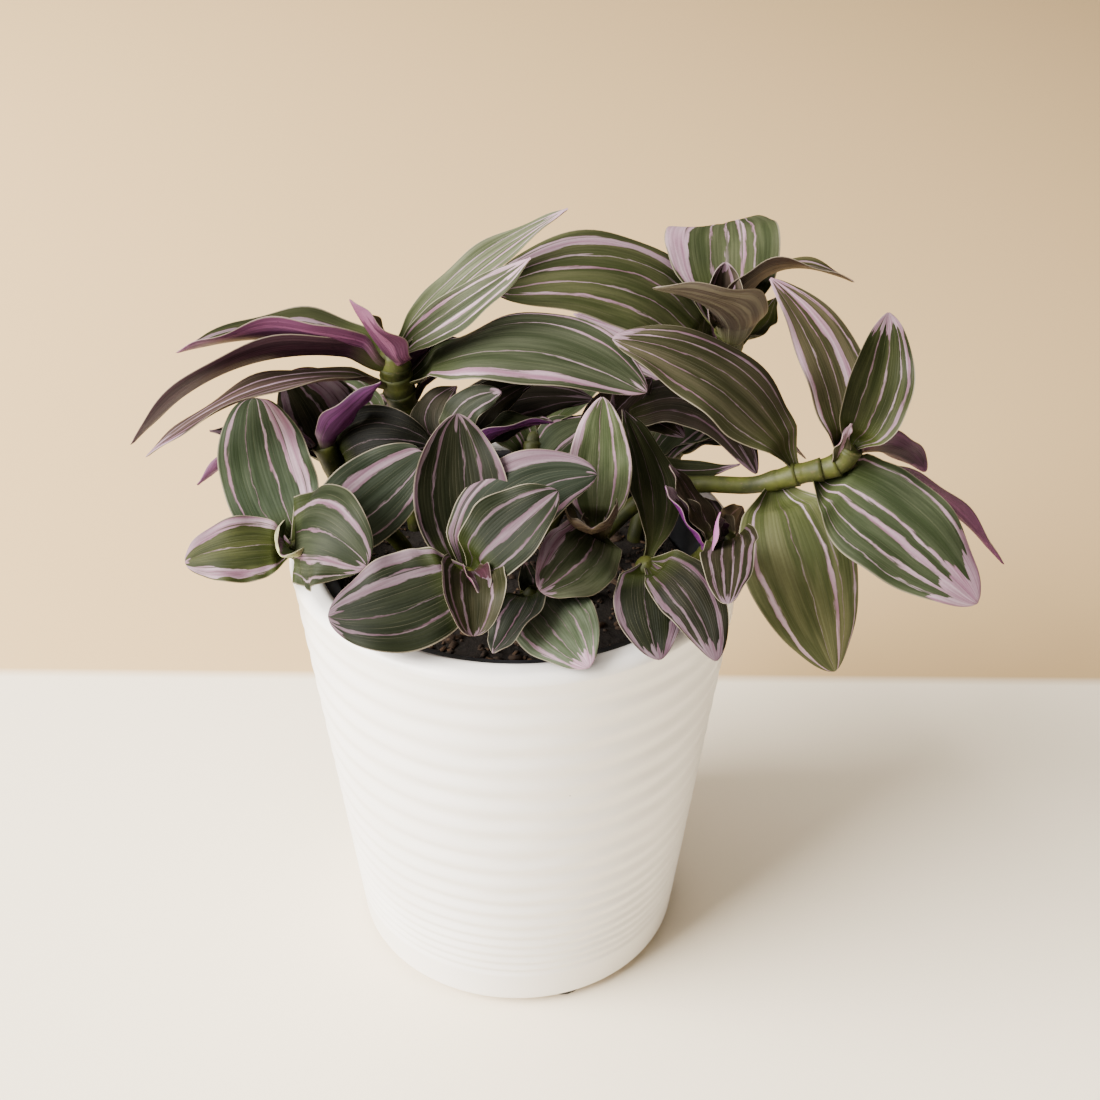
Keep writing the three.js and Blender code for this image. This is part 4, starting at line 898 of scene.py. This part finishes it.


# Where a leaf lies in deeper shade than these lamps give it, its green and stain were made darker to
# match; that part of their darkness is painted shade.
SHOOTS = {
    "crown_left": dict(radius=THICK, root=(-22, 26), points=[(-29, 18, 168), (-34, 15, 187),
        (-36, 12, 201), (-36, 12, 210)], leaves=[
        leaf(4.4, -177, 4, 64, 35, arch=6, roll=20, cup=105, cup_tip=70, green="#252815",
             stain="#58314d", bands=[(-0.75, 0.06), (-0.35, 0.03), (0.1, 0.02), (0.7, 0.05)]),
        leaf(4.3, -168, -13, 81, 21, arch=12, sway=-8, roll=35, cup=95, cup_tip=60, blunt=0.8,
             belly=0.75, green="#222515", tip=0.97, stain="#2c1822", bands=[(-0.6, 0.02), (-0.1, 0.02),
             (0.6, 0.03)]),
        leaf(3.7, -155, -5, 77, 17, arch=11, sway=-3, roll=10, cup=50, green="#3b2f2a",
             stain="#3b2c2b", bands=[(-0.6, 0.05), (-0.2, 0.04), (0.2, 0.04), (0.6, 0.05)]),
        leaf(4.4, -138, 60, 29, 21, arch=-1, sway=-3, roll=-10, cup=130, cup_tip=70, clasp=220,
             blunt=0.75, green="#4d432d", tip=0.8, stain="#522f45", bands=[(-0.5, 0.12), (0.5, 0.08)]),
        leaf(4.8, -3, 38, 51, 13, arch=-2, roll=50, cup=70, cup_tip=30, green="#3b402e", tip=0.9,
             bands=[(-0.75, 0.096), (-0.3, 0.036), (0.15, 0.096), (0.65, 0.06)]),
        leaf(4.9, 25, 32, 66, 13, sway=-4, roll=20, cup=60, green="#4e533d", bands=[(-0.5, 0.03),
             (-0.1, 0.019), (0.3, 0.06), (0.75, 0.06)]),
        leaf(3.7, -10, 4, 75, 31, arch=14, sway=-4, roll=5, twist=35, cup=-40, cup_tip=-20, blunt=0.6,
             foot=1.1, wild=2.2, green="#333828", tip=0.99, stain="#382330", bands=[(-0.9, 0.04),
             (-0.55, 0.02), (0.3, 0.012), (0.8, 0.09)]),
        leaf(3.1, 13, 7, 49, 14, arch=10, sway=1, roll=-20, cup=60, green="#202111", tip=0.95,
             bands=[(-0.5, 0.025), (0.3, 0.025)]),
        leaf(3.5, 29, 14, 27, 13, arch=6, sway=3, roll=-55, cup=80, foot=0.6, green="#312819",
             tip=0.95, stain="#452843", bands=[(-0.4, 0.03), (0.3, 0.03)]),
    ]),
    "crown_right": dict(radius=MIDDLE, root=(24, 36), points=[(31, 42, 147), (55, 42, 177),
        (65, 31, 200), (63, 28, 211)], leaves=[
        leaf(3.7, -175, 21, 76, 36, arch=13, sway=11, roll=-30, cup=-45, cup_tip=-30, blunt=0.5,
             wild=2.2, green="#3a3d25", tip=1, bands=[(-0.6, 0.02), (-0.3, 0.012), (0.05, 0.015),
             (0.33, 0.012), (0.7, 0.09)]),
        leaf(4.8, 86, 8, 56, 36, arch=15, sway=-4, roll=5, twist=-25, cup=30, cup_tip=-20, blunt=0.5,
             wild=1.4, green="#363b26", tip=1.2, bands=[(-0.78, 0.26), (-0.2, 0.02), (0.08, 0.02),
             (0.35, 0.055), (0.56, 0.02)]),
        leaf(4.4, -131, 37, 51, 26, arch=2, sway=-8, roll=15, cup=115, cup_tip=60, blunt=0.7, wild=1.5,
             green="#3c372b", tip=0.9, stain="#484039", bands=[(-0.8, 0.09), (-0.48, 0.05),
             (-0.18, 0.05), (0.14, 0.05), (0.46, 0.05), (0.8, 0.09)]),
        leaf(4.6, -18, 32, 42, 22, arch=12, sway=2, roll=-20, cup=70, cup_tip=50, green="#33311c",
             stain="#3d2f25", bands=[(-0.6, 0.05), (-0.2, 0.04), (0.2, 0.04), (0.6, 0.05)]),
        leaf(4.2, 52, 15, 26, 17, arch=-3, sway=-1, roll=-15, cup=50, green="#373b18", tip=0.98,
             stain="#3d3d24", bands=[(-0.3, 0.012), (0.4, 0.012)]),
        leaf(5, -117, 79, 22, 18, arch=1, sway=-1, roll=-150, cup=200, cup_tip=120, clasp=200,
             blunt=0.6, green="#3c342b", tip=0.9, stain="#4a3945", bands=[(-0.5, 0.06), (0.4, 0.06)]),
        leaf(3.1, 148, 19, 49, 17, arch=-4, sway=5, roll=-30, cup=-20, foot=1.2, green="#434633",
             tip=0.6, bands=[(-0.7, 0.2), (-0.1, 0.048), (0.5, 0.06)]),
    ]),
    "crown_far_right": dict(radius=THIN, root=(20, 6), points=[(41, 2, 167), (55, 0, 171),
        (69, -2, 172), (76, -3, 174), (84, -5, 178), (95, -6, 182), (99, -6, 189)], leaves=[
        leaf(6, 169, 34, 69, 27, arch=7, sway=7, roll=-30, cup=-40, cup_tip=-30, blunt=0.6, foot=1.5,
             wild=2.4, green="#363424", tip=0.96, bands=[(-0.75, 0.012), (-0.35, 0.012), (0.1, 0.01),
             (0.45, 0.03), (0.75, 0.03)]),
        leaf(5.2, -59, -53, 60, 34, arch=12, sway=2, roll=25, cup=-25, cup_tip=-20, blunt=0.62,
             foot=0.85, belly=0.72, wild=1.5, green="#484b30", tip=1.1, bands=[(-0.9, 0.02),
             (-0.6, 0.008), (-0.45, 0.045), (0, 0.008), (0.72, 0.05)]),
        leaf(6.4, -31, -27, 61, 36, arch=5, sway=-1, roll=25, cup=-25, cup_tip=-20, blunt=0.6,
             foot=0.8, wild=2, green="#373e2b", tip=0.8, bands=[(-0.84, 0.04), (-0.05, 0.035),
             (0.22, 0.06), (0.55, 0.03), (0.8, 0.012)]),
        leaf(7.3, 147, 60, 58, 20, arch=3, sway=6, roll=-35, blunt=0.75, wild=1.6, green="#3f3c2a",
             tip=0.95, stain="#593b49", bands=[(-0.86, 0.1), (-0.4, 0.02), (0, 0.02), (0.35, 0.13),
             (0.8, 0.04)]),
        leaf(7.8, 52, 72, 41, 22, arch=3, sway=2, roll=35, cup=105, cup_tip=60, blunt=0.65,
             green="#242814", tip=0.9, stain="#3e331f", bands=[(-0.35, 0.02), (0.15, 0.02),
             (0.55, 0.02), (0.8, 0.06)]),
        leaf(7.2, 36, -24, 42, 18, arch=5, roll=-35, cup=110, cup_tip=90, blunt=0.6, green="#303219",
             tip=0.9, stain="#4b2245", bands=[(-0.5, 0.03), (0.5, 0.03)]),
        leaf(7, 8, -35, 71, 13, arch=9, sway=-2, roll=-40, green="#2a211e", tip=0.86, stain="#482340",
             bands=[(-0.5, 0.036), (0.3, 0.036)]),
        leaf(6.9, -36, 77, 16, 5, arch=1, sway=-1, roll=145, cup=60, green="#353222", tip=0.7,
             stain="#593b49", bands=[(0, 0.24)]),
    ]),
    "shoot_mid_right": dict(radius=THIN, root=(10, 24), points=[(18, 24, 157), (26, 24, 176)], leaves=[
        leaf(3, -23, -4, 51, 20, arch=14, sway=-10, roll=20, cup=-30, blunt=0.6, green="#231e17",
             tip=0.95, bands=[(-0.5, 0.025), (0.1, 0.025), (0.6, 0.03)]),
        leaf(2.8, -16, -1, 46, 9, arch=-2, sway=5, roll=20, cup=70, green="#2b2d1a", tip=0.9,
             bands=[(0, 0.06)]),
        leaf(2.6, 6, 53, 31, 17, arch=2, sway=-2, roll=70, cup=20, blunt=0.7, green="#29201b",
             tip=0.97, stain="#362530", bands=[(0, 0.025), (0.6, 0.036)]),
        leaf(2.7, -8, 11, 29, 14, arch=5, sway=-7, roll=30, cup=-20, blunt=0.6, green="#2c261b",
             tip=0.96, bands=[(-0.4, 0.03), (0.3, 0.019)]),
    ]),
    "rosette_left": dict(radius=THIN, root=(-36, -6), points=[(-52, -12, 152), (-61, -15, 157),
        (-66, -22, 161)], leaves=[
        leaf(3.6, 119, 55, 46, 29, arch=-1, sway=-3, roll=-30, cup=20, blunt=0.4, belly=0.95, wild=1.4,
             green="#313a29", tip=1.1, bands=[(-0.78, 0.03), (-0.35, 0.01), (0.12, 0.02),
             (0.66, 0.22)]),
        leaf(3, 8, 41, 46, 25, arch=1, roll=60, cup=15, blunt=0.42, belly=0.95, green="#21271c",
             tip=1.1, bands=[(-0.5, 0.1), (0.3, 0.015), (0.75, 0.03)]),
        leaf(4, -39, 14, 33, 33, arch=7, sway=-5, roll=50, cup=-55, cup_tip=-30, blunt=0.5,
             green="#24291b", tip=1, bands=[(-0.62, 0.07), (-0.1, 0.03), (0.42, 0.08), (0.8, 0.03)]),
        leaf(4, -173, -5, 31, 20, arch=4, sway=1, roll=-45, cup=10, blunt=0.55, wild=1.6,
             green="#2b2f16", tip=1, bands=[(-0.72, 0.18), (0.1, 0.012), (0.86, 0.22)]),
        leaf(4, -90, 27, 16, 21, roll=-30, cup=220, cup_tip=170, clasp=200, blunt=0.6, green="#586541",
             tip=0.9, stain="#858263", bands=[(-0.5, 0.1), (0.4, 0.2)]),
    ]),
    "shoot_left_back": dict(radius=THIN, root=(-36, 12), points=[(-52, 6, 161), (-56, 2, 177),
        (-58, 2, 184)], leaves=[
        leaf(3.1, 136, 48, 28, 27, arch=-4, sway=3, roll=-30, cup=20, blunt=0.5, wild=1.4,
             green="#29281b", tip=0.95, stain="#432f37", bands=[(-0.6, 0.15), (0.1, 0.03),
             (0.62, 0.3)]),
        leaf(3.6, -27, 52, 35, 13, arch=-1, sway=3, roll=-30, cup=100, cup_tip=90, green="#281723",
             tip=0.95, stain="#3b173b", bands=[(-0.5, 0.06), (0.5, 0.06)]),
        leaf(2.9, -11, 18, 33, 20, arch=5, sway=-5, roll=55, cup=-20, blunt=0.6, green="#060602",
             tip=1.1, bands=[(-0.4, 0.012), (0.1, 0.012), (0.5, 0.019)]),
        leaf(3.6, 167, 1, 37, 10, arch=-6, sway=4, roll=-30, cup=60, green="#272419", tip=0.9,
             stain="#452940", bands=[(0, 0.16)]),
        leaf(3.2, 180, -15, 42, 10, arch=10, sway=-1, roll=70, cup=60, green="#272419", tip=0.8,
             stain="#56344d", bands=[(0, 0.16), (0.7, 0.06)]),
    ]),
    "shoot_centre": dict(radius=THIN, root=(-10, 4), points=[(-12, 3, 148), (-16, 1, 175),
        (-21, 0, 186)], leaves=[
        leaf(4, -7, 45, 24, 11, arch=1, sway=-3, roll=55, cup=10, blunt=0.6, green="#24281d", tip=0.95,
             bands=[(-0.3, 0.03), (0.5, 0.048)]),
        leaf(3, -2, 32, 32, 17, arch=5, sway=2, roll=-15, cup=110, cup_tip=90, blunt=0.65,
             green="#252918", stain="#552959", bands=[(0.15, 0.03), (0.75, 0.048)]),
        leaf(3.7, 84, 43, 19, 16, arch=2, sway=-5, roll=-10, cup=20, green="#312e23", tip=0.95,
             bands=[(-0.4, 0.03), (0.4, 0.03)]),
        leaf(3.2, 40, 29, 34, 14, arch=1, sway=-6, roll=35, cup=20, green="#1a170f", tip=0.95,
             bands=[(-0.3, 0.025), (0.3, 0.025)]),
        leaf(3.3, 40, 1, 54, 24, sway=-12, roll=20, cup=-20, blunt=0.7, green="#1d1912", tip=0.96,
             bands=[(-0.5, 0.03), (0.1, 0.019), (0.6, 0.03)]),
    ]),
    "rosette_front": dict(radius=THIN, root=(-2, -26), points=[(-4, -30, 149), (-10, -40, 159),
        (-12, -47, 171)], leaves=[
        leaf(3.6, 100, 55, 47, 29, arch=-2, sway=-1, roll=-5, cup=75, cup_tip=70, blunt=0.6,
             belly=0.95, green="#17190e", tip=0.97, bands=[(-0.92, 0.06), (-0.55, 0.03), (0.1, 0.012),
             (0.45, 0.03), (0.92, 0.1)]),
        leaf(3.8, 24, 32, 45, 26, arch=2, sway=-9, roll=35, cup=-20, blunt=0.55, wild=1.4,
             green="#1d2319", tip=1, bands=[(-0.78, 0.2), (0.1, 0.02), (0.86, 0.06)]),
        leaf(4, 12, 43, 34, 23, arch=3, roll=35, cup=45, blunt=0.6, wild=1.6, green="#151a0d", tip=1,
             bands=[(-0.6, 0.05), (0.02, 0.12), (0.62, 0.05)]),
        leaf(4, -167, -13, 41, 29, arch=3, sway=-3, roll=-40, cup=-25, blunt=0.55, belly=0.85,
             wild=1.8, green="#15190d", tip=0.96, bands=[(-0.6, 0.03), (-0.2, 0.012), (0.44, 0.12),
             (0.9, 0.2)]),
        leaf(4, -85, -12, 24, 22, arch=5, sway=1, roll=-10, cup=130, cup_tip=100, blunt=0.45,
             green="#282718", tip=0.97, stain="#473137", bands=[(-0.55, 0.03), (0.25, 0.036),
             (0.62, 0.042), (0.92, 0.048)]),
        leaf(4, -72, 4, 16, 10, arch=2, roll=-5, cup=170, cup_tip=110, green="#392028", tip=0.6,
             stain="#61364f", bands=[(0, 0.32)]),
    ]),
    "rosette_front_low": dict(radius=THIN, root=(8, -24), points=[(5, -34, 150),
        (5, -42, 162)], leaves=[
        leaf(2.9, -110, -4, 29, 18, arch=1, sway=-2, roll=20, cup=70, blunt=0.7, green="#252821",
             tip=1, bands=[(-0.5, 0.012), (0, 0.03), (0.55, 0.06)]),
        leaf(2.7, -60, -8, 33, 24, arch=3, roll=20, cup=-20, blunt=0.6, green="#4d5643",
             bands=[(-0.75, 0.015), (-0.4, 0.019), (-0.12, 0.009), (0.2, 0.012), (0.48, 0.012),
             (0.78, 0.042)]),
        leaf(3, -135, 76, 11, 8, arch=1, roll=-125, cup=140, cup_tip=90, clasp=140, green="#20241d",
             tip=0.9, stain="#37382c", bands=[(0.3, 0.06)]),
    ]),
    "rosette_mid": dict(radius=THIN, root=(20, -12), points=[(24, -16, 154), (24, -25, 171)], leaves=[
        leaf(3, 87, 63, 38, 19, arch=-2, roll=5, blunt=0.6, wild=1.6, green="#484f37", tip=1,
             bands=[(-0.86, 0.16), (-0.05, 0.015), (0.47, 0.06), (0.92, 0.04)]),
        leaf(3, -121, -5, 32, 23, arch=2, sway=-2, roll=-25, cup=-30, blunt=0.55, green="#454a36",
             tip=0.92, bands=[(-0.4, 0.007), (-0.1, 0.036), (0.25, 0.012), (0.82, 0.256)]),
        leaf(3, -98, 33, 18, 27, arch=-1, sway=1, roll=5, cup=210, cup_tip=150, blunt=0.65,
             green="#383125", tip=0.97, stain="#493d32", bands=[(-0.5, 0.019), (0, 0.019),
             (0.5, 0.025)]),
        leaf(3, -99, 33, 15, 12, arch=-1, sway=1, roll=-5, cup=220, cup_tip=120, clasp=200, blunt=0.65,
             green="#382c23", tip=0.95, stain="#453732", bands=[(0, 0.03)]),
        leaf(2.9, 83, 30, 47, 11, arch=-10, sway=2, roll=10, cup=20, green="#1a160f", tip=0.95,
             bands=[(0.2, 0.03), (0.7, 0.06)]),
    ]),
    "rosette_right": dict(radius=THIN, root=(36, -14), points=[(37, -24, 149),
        (38, -36, 167)], leaves=[
        leaf(2.9, 98, 30, 52, 19, sway=6, roll=25, cup=60, blunt=0.8, foot=1.6, belly=0.95,
             green="#222514", tip=0.98, stain="#2c2b1a", bands=[(-0.5, 0.012), (0, 0.012),
             (0.5, 0.012)]),
        leaf(3, -84, -26, 31, 20, arch=2, sway=1, roll=10, cup=-20, blunt=0.6, wild=1.4,
             green="#0f1206", bands=[(-0.8, 0.2), (0.1, 0.012), (0.9, 0.12)]),
        leaf(3, -59, -19, 37, 18, arch=5, sway=-4, roll=25, cup=-25, blunt=0.6, green="#13130a",
             bands=[(-0.6, 0.1), (0.1, 0.03), (0.5, 0.05), (0.85, 0.08)]),
    ]),
    "rosette_far_right": dict(radius=THIN, root=(43, -8), points=[(50, -16, 150),
        (62, -28, 170)], leaves=[
        leaf(3, -96, 11, 45, 17, arch=4, sway=-2, roll=25, cup=45, cup_tip=30, blunt=0.45, wild=1.4,
             green="#1e1c11", tip=1, bands=[(-0.8, 0.07), (-0.45, 0.05), (-0.1, 0.05), (0.3, 0.05),
             (0.7, 0.06)]),
        leaf(2.9, -104, 52, 25, 13, arch=-1, sway=-4, roll=-95, cup=70, green="#43293b", tip=0.5,
             stain="#703d67", bands=[(0, 0.8)]),
        leaf(2.6, 152, 51, 24, 13, roll=10, cup=110, green="#28201a", tip=0.8, stain="#5e2661",
             bands=[(-0.3, 0.03), (0.5, 0.16)]),
        leaf(2.7, 131, 44, 28, 13, arch=-1, sway=3, roll=20, green="#271f18", tip=0.9, stain="#39242b",
             bands=[(0.3, 0.03)]),
        leaf(2.8, 74, -16, 43, 14, sway=1, roll=50, cup=20, blunt=0.7, green="#322721", tip=0.97,
             stain="#3f2930", bands=[(-0.5, 0.036), (-0.1, 0.025), (0.3, 0.036), (0.7, 0.03)]),
        leaf(2.8, 93, -8, 34, 15, arch=1, sway=-1, roll=10, cup=20, blunt=0.6, green="#272118",
             tip=0.97, stain="#3f2930", bands=[(-0.6, 0.05), (0, 0.03), (0.6, 0.06)]),
    ]),
    "shoot_back_left": dict(radius=THIN, root=(-34, 28), points=[(-37, 37, 153),
        (-46, 52, 160)], leaves=[
        leaf(1.3, 150, 25, 40, 22, arch=9),
        leaf(1.7, 100, 10, 44, 22, arch=9),
        leaf(2.5, 175, 0, 46, 24, arch=10),
        leaf(2.8, 110, -20, 48, 24, arch=9),
        leaf(3, 145, 15, 32, 16, arch=5, cup=90),
    ]),
    "shoot_back": dict(radius=THIN, root=(2, 38), points=[(4, 50, 153), (4, 62, 156)], leaves=[
        leaf(1.3, 30, 25, 40, 22, arch=8),
        leaf(1.7, 140, 15, 40, 22, arch=9),
        leaf(2.3, 60, -5, 48, 24, arch=10),
        leaf(2.7, 115, -20, 48, 24, arch=9),
        leaf(3, 85, 5, 30, 14, arch=4, cup=90),
    ]),
    "shoot_back_right": dict(radius=THIN, root=(38, 22), points=[(44, 32, 154),
        (54, 44, 161)], leaves=[
        leaf(1.6, 15, 42, 42, 20, arch=9),
        leaf(2.2, -20, 25, 40, 18, arch=9),
        leaf(3, 60, 0, 46, 22, arch=10),
        leaf(2.7, 15, -12, 48, 24, arch=9),
        leaf(3, 40, 15, 32, 14, arch=4, cup=90),
    ]),
}
print("shoots:", len(SHOOTS), "leaves:", sum(len(s["leaves"]) for s in SHOOTS.values()))

# %% [markdown]
# ## Growing the shoots
# Every shoot becomes one object: its stem and cuffs, and the blades of its leaves with an upper and a
# lower skin. It takes the place of the frame's plain solid of that name.

# %% Build the shoots
PHASE_STEP, SEED_STEP = 2.4, 3.7  # from leaf to leaf, so that no two have the same waves or pattern
BANDS_DRAWN, BANDS_HELD = 5, 3 * len(BAND_SETS)
NO_BAND = (5.0, 0.0)  # a place far outside the blade, and no width
random = np.random.default_rng(21)


def drawn_bands():
    """The bands of a leaf that has no list of its own: seeded places and widths."""
    places = np.sort(random.uniform(-0.9, 0.9, BANDS_DRAWN))
    return list(zip(places, random.uniform(0.01, 0.09, BANDS_DRAWN)))


def leaf_look(leaf, number):
    """What all points of a leaf carry: its seed, wildness and tip, its two colours and its bands."""
    bands = list(leaf.get("bands") or drawn_bands())[:BANDS_HELD]
    bands += [NO_BAND] * (BANDS_HELD - len(bands))
    places, halves = np.array(bands).T
    return {"look": (number * SEED_STEP, leaf["wild"], leaf["tip"]),
            "green": linear(leaf["green"])[:3], "stain": linear(leaf["stain"])[:3],
            "band_1_place": places[:3], "band_1_half": halves[:3],
            "band_2_place": places[3:], "band_2_half": halves[3:]}


def grow(name, shoot, first_leaf):
    """One shoot as a mesh with its attributes; returns the object."""
    at, _ = stem_curve(shoot)
    points, faces = stem(shoot)
    parts = {"points": [points], "faces": [faces], "slots": [np.zeros(len(faces), int)]}
    floats = {"along": [np.zeros(len(points))], "across": [np.zeros(len(points))]}
    names = ("look", "green", "stain", "band_1_place", "band_1_half", "band_2_place", "band_2_half")
    vectors = {n: [np.zeros((len(points), 3))] for n in names}
    count = len(points)
    for number, leaf in enumerate(shoot["leaves"], first_leaf):
        phase = number * PHASE_STEP % (2 * math.pi)
        points, upper, lower, t, s = blade(leaf, at(leaf["at"]), phase)
        parts["points"].append(points)
        parts["faces"].append(np.concatenate([upper, lower]) + count)
        parts["slots"].append(np.repeat([1, 2], [len(upper), len(lower)]))
        floats["along"].append(t)
        floats["across"].append(s)
        for n, values in leaf_look(leaf, number).items():
            vectors[n].append(np.broadcast_to(values, (len(points), 3)))
        count += len(points)
    parts, floats, vectors = ({n: np.concatenate(v) for n, v in group.items()}
                              for group in (parts, floats, vectors))
    piece = make_piece(name + "_leafy", parts["points"], parts["faces"],
                       [stem_skin, upper_skin, under_skin], parts["slots"], floats, vectors)
    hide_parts(name)
    return piece


leaf_number = 0
for name, shoot in SHOOTS.items():
    piece = grow(name, shoot, leaf_number)
    leaf_number += len(shoot["leaves"])
    print(name, "leaves:", len(shoot["leaves"]), "faces:", len(piece.data.polygons))

# %% [markdown]
# ## The dressed size
# The box of the dressed plant is gathered beside the frame's own box, and the dressed box is printed.
# The fine pieces have to stay inside the frame's size.

# %% Gather the sizes and print them
dressed_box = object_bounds()
sizes = {"cad": [list(map(float, corner)) for corner in cad_box],
         "visual": [list(map(float, corner)) for corner in dressed_box]}
print("visual box:", sizes["visual"])
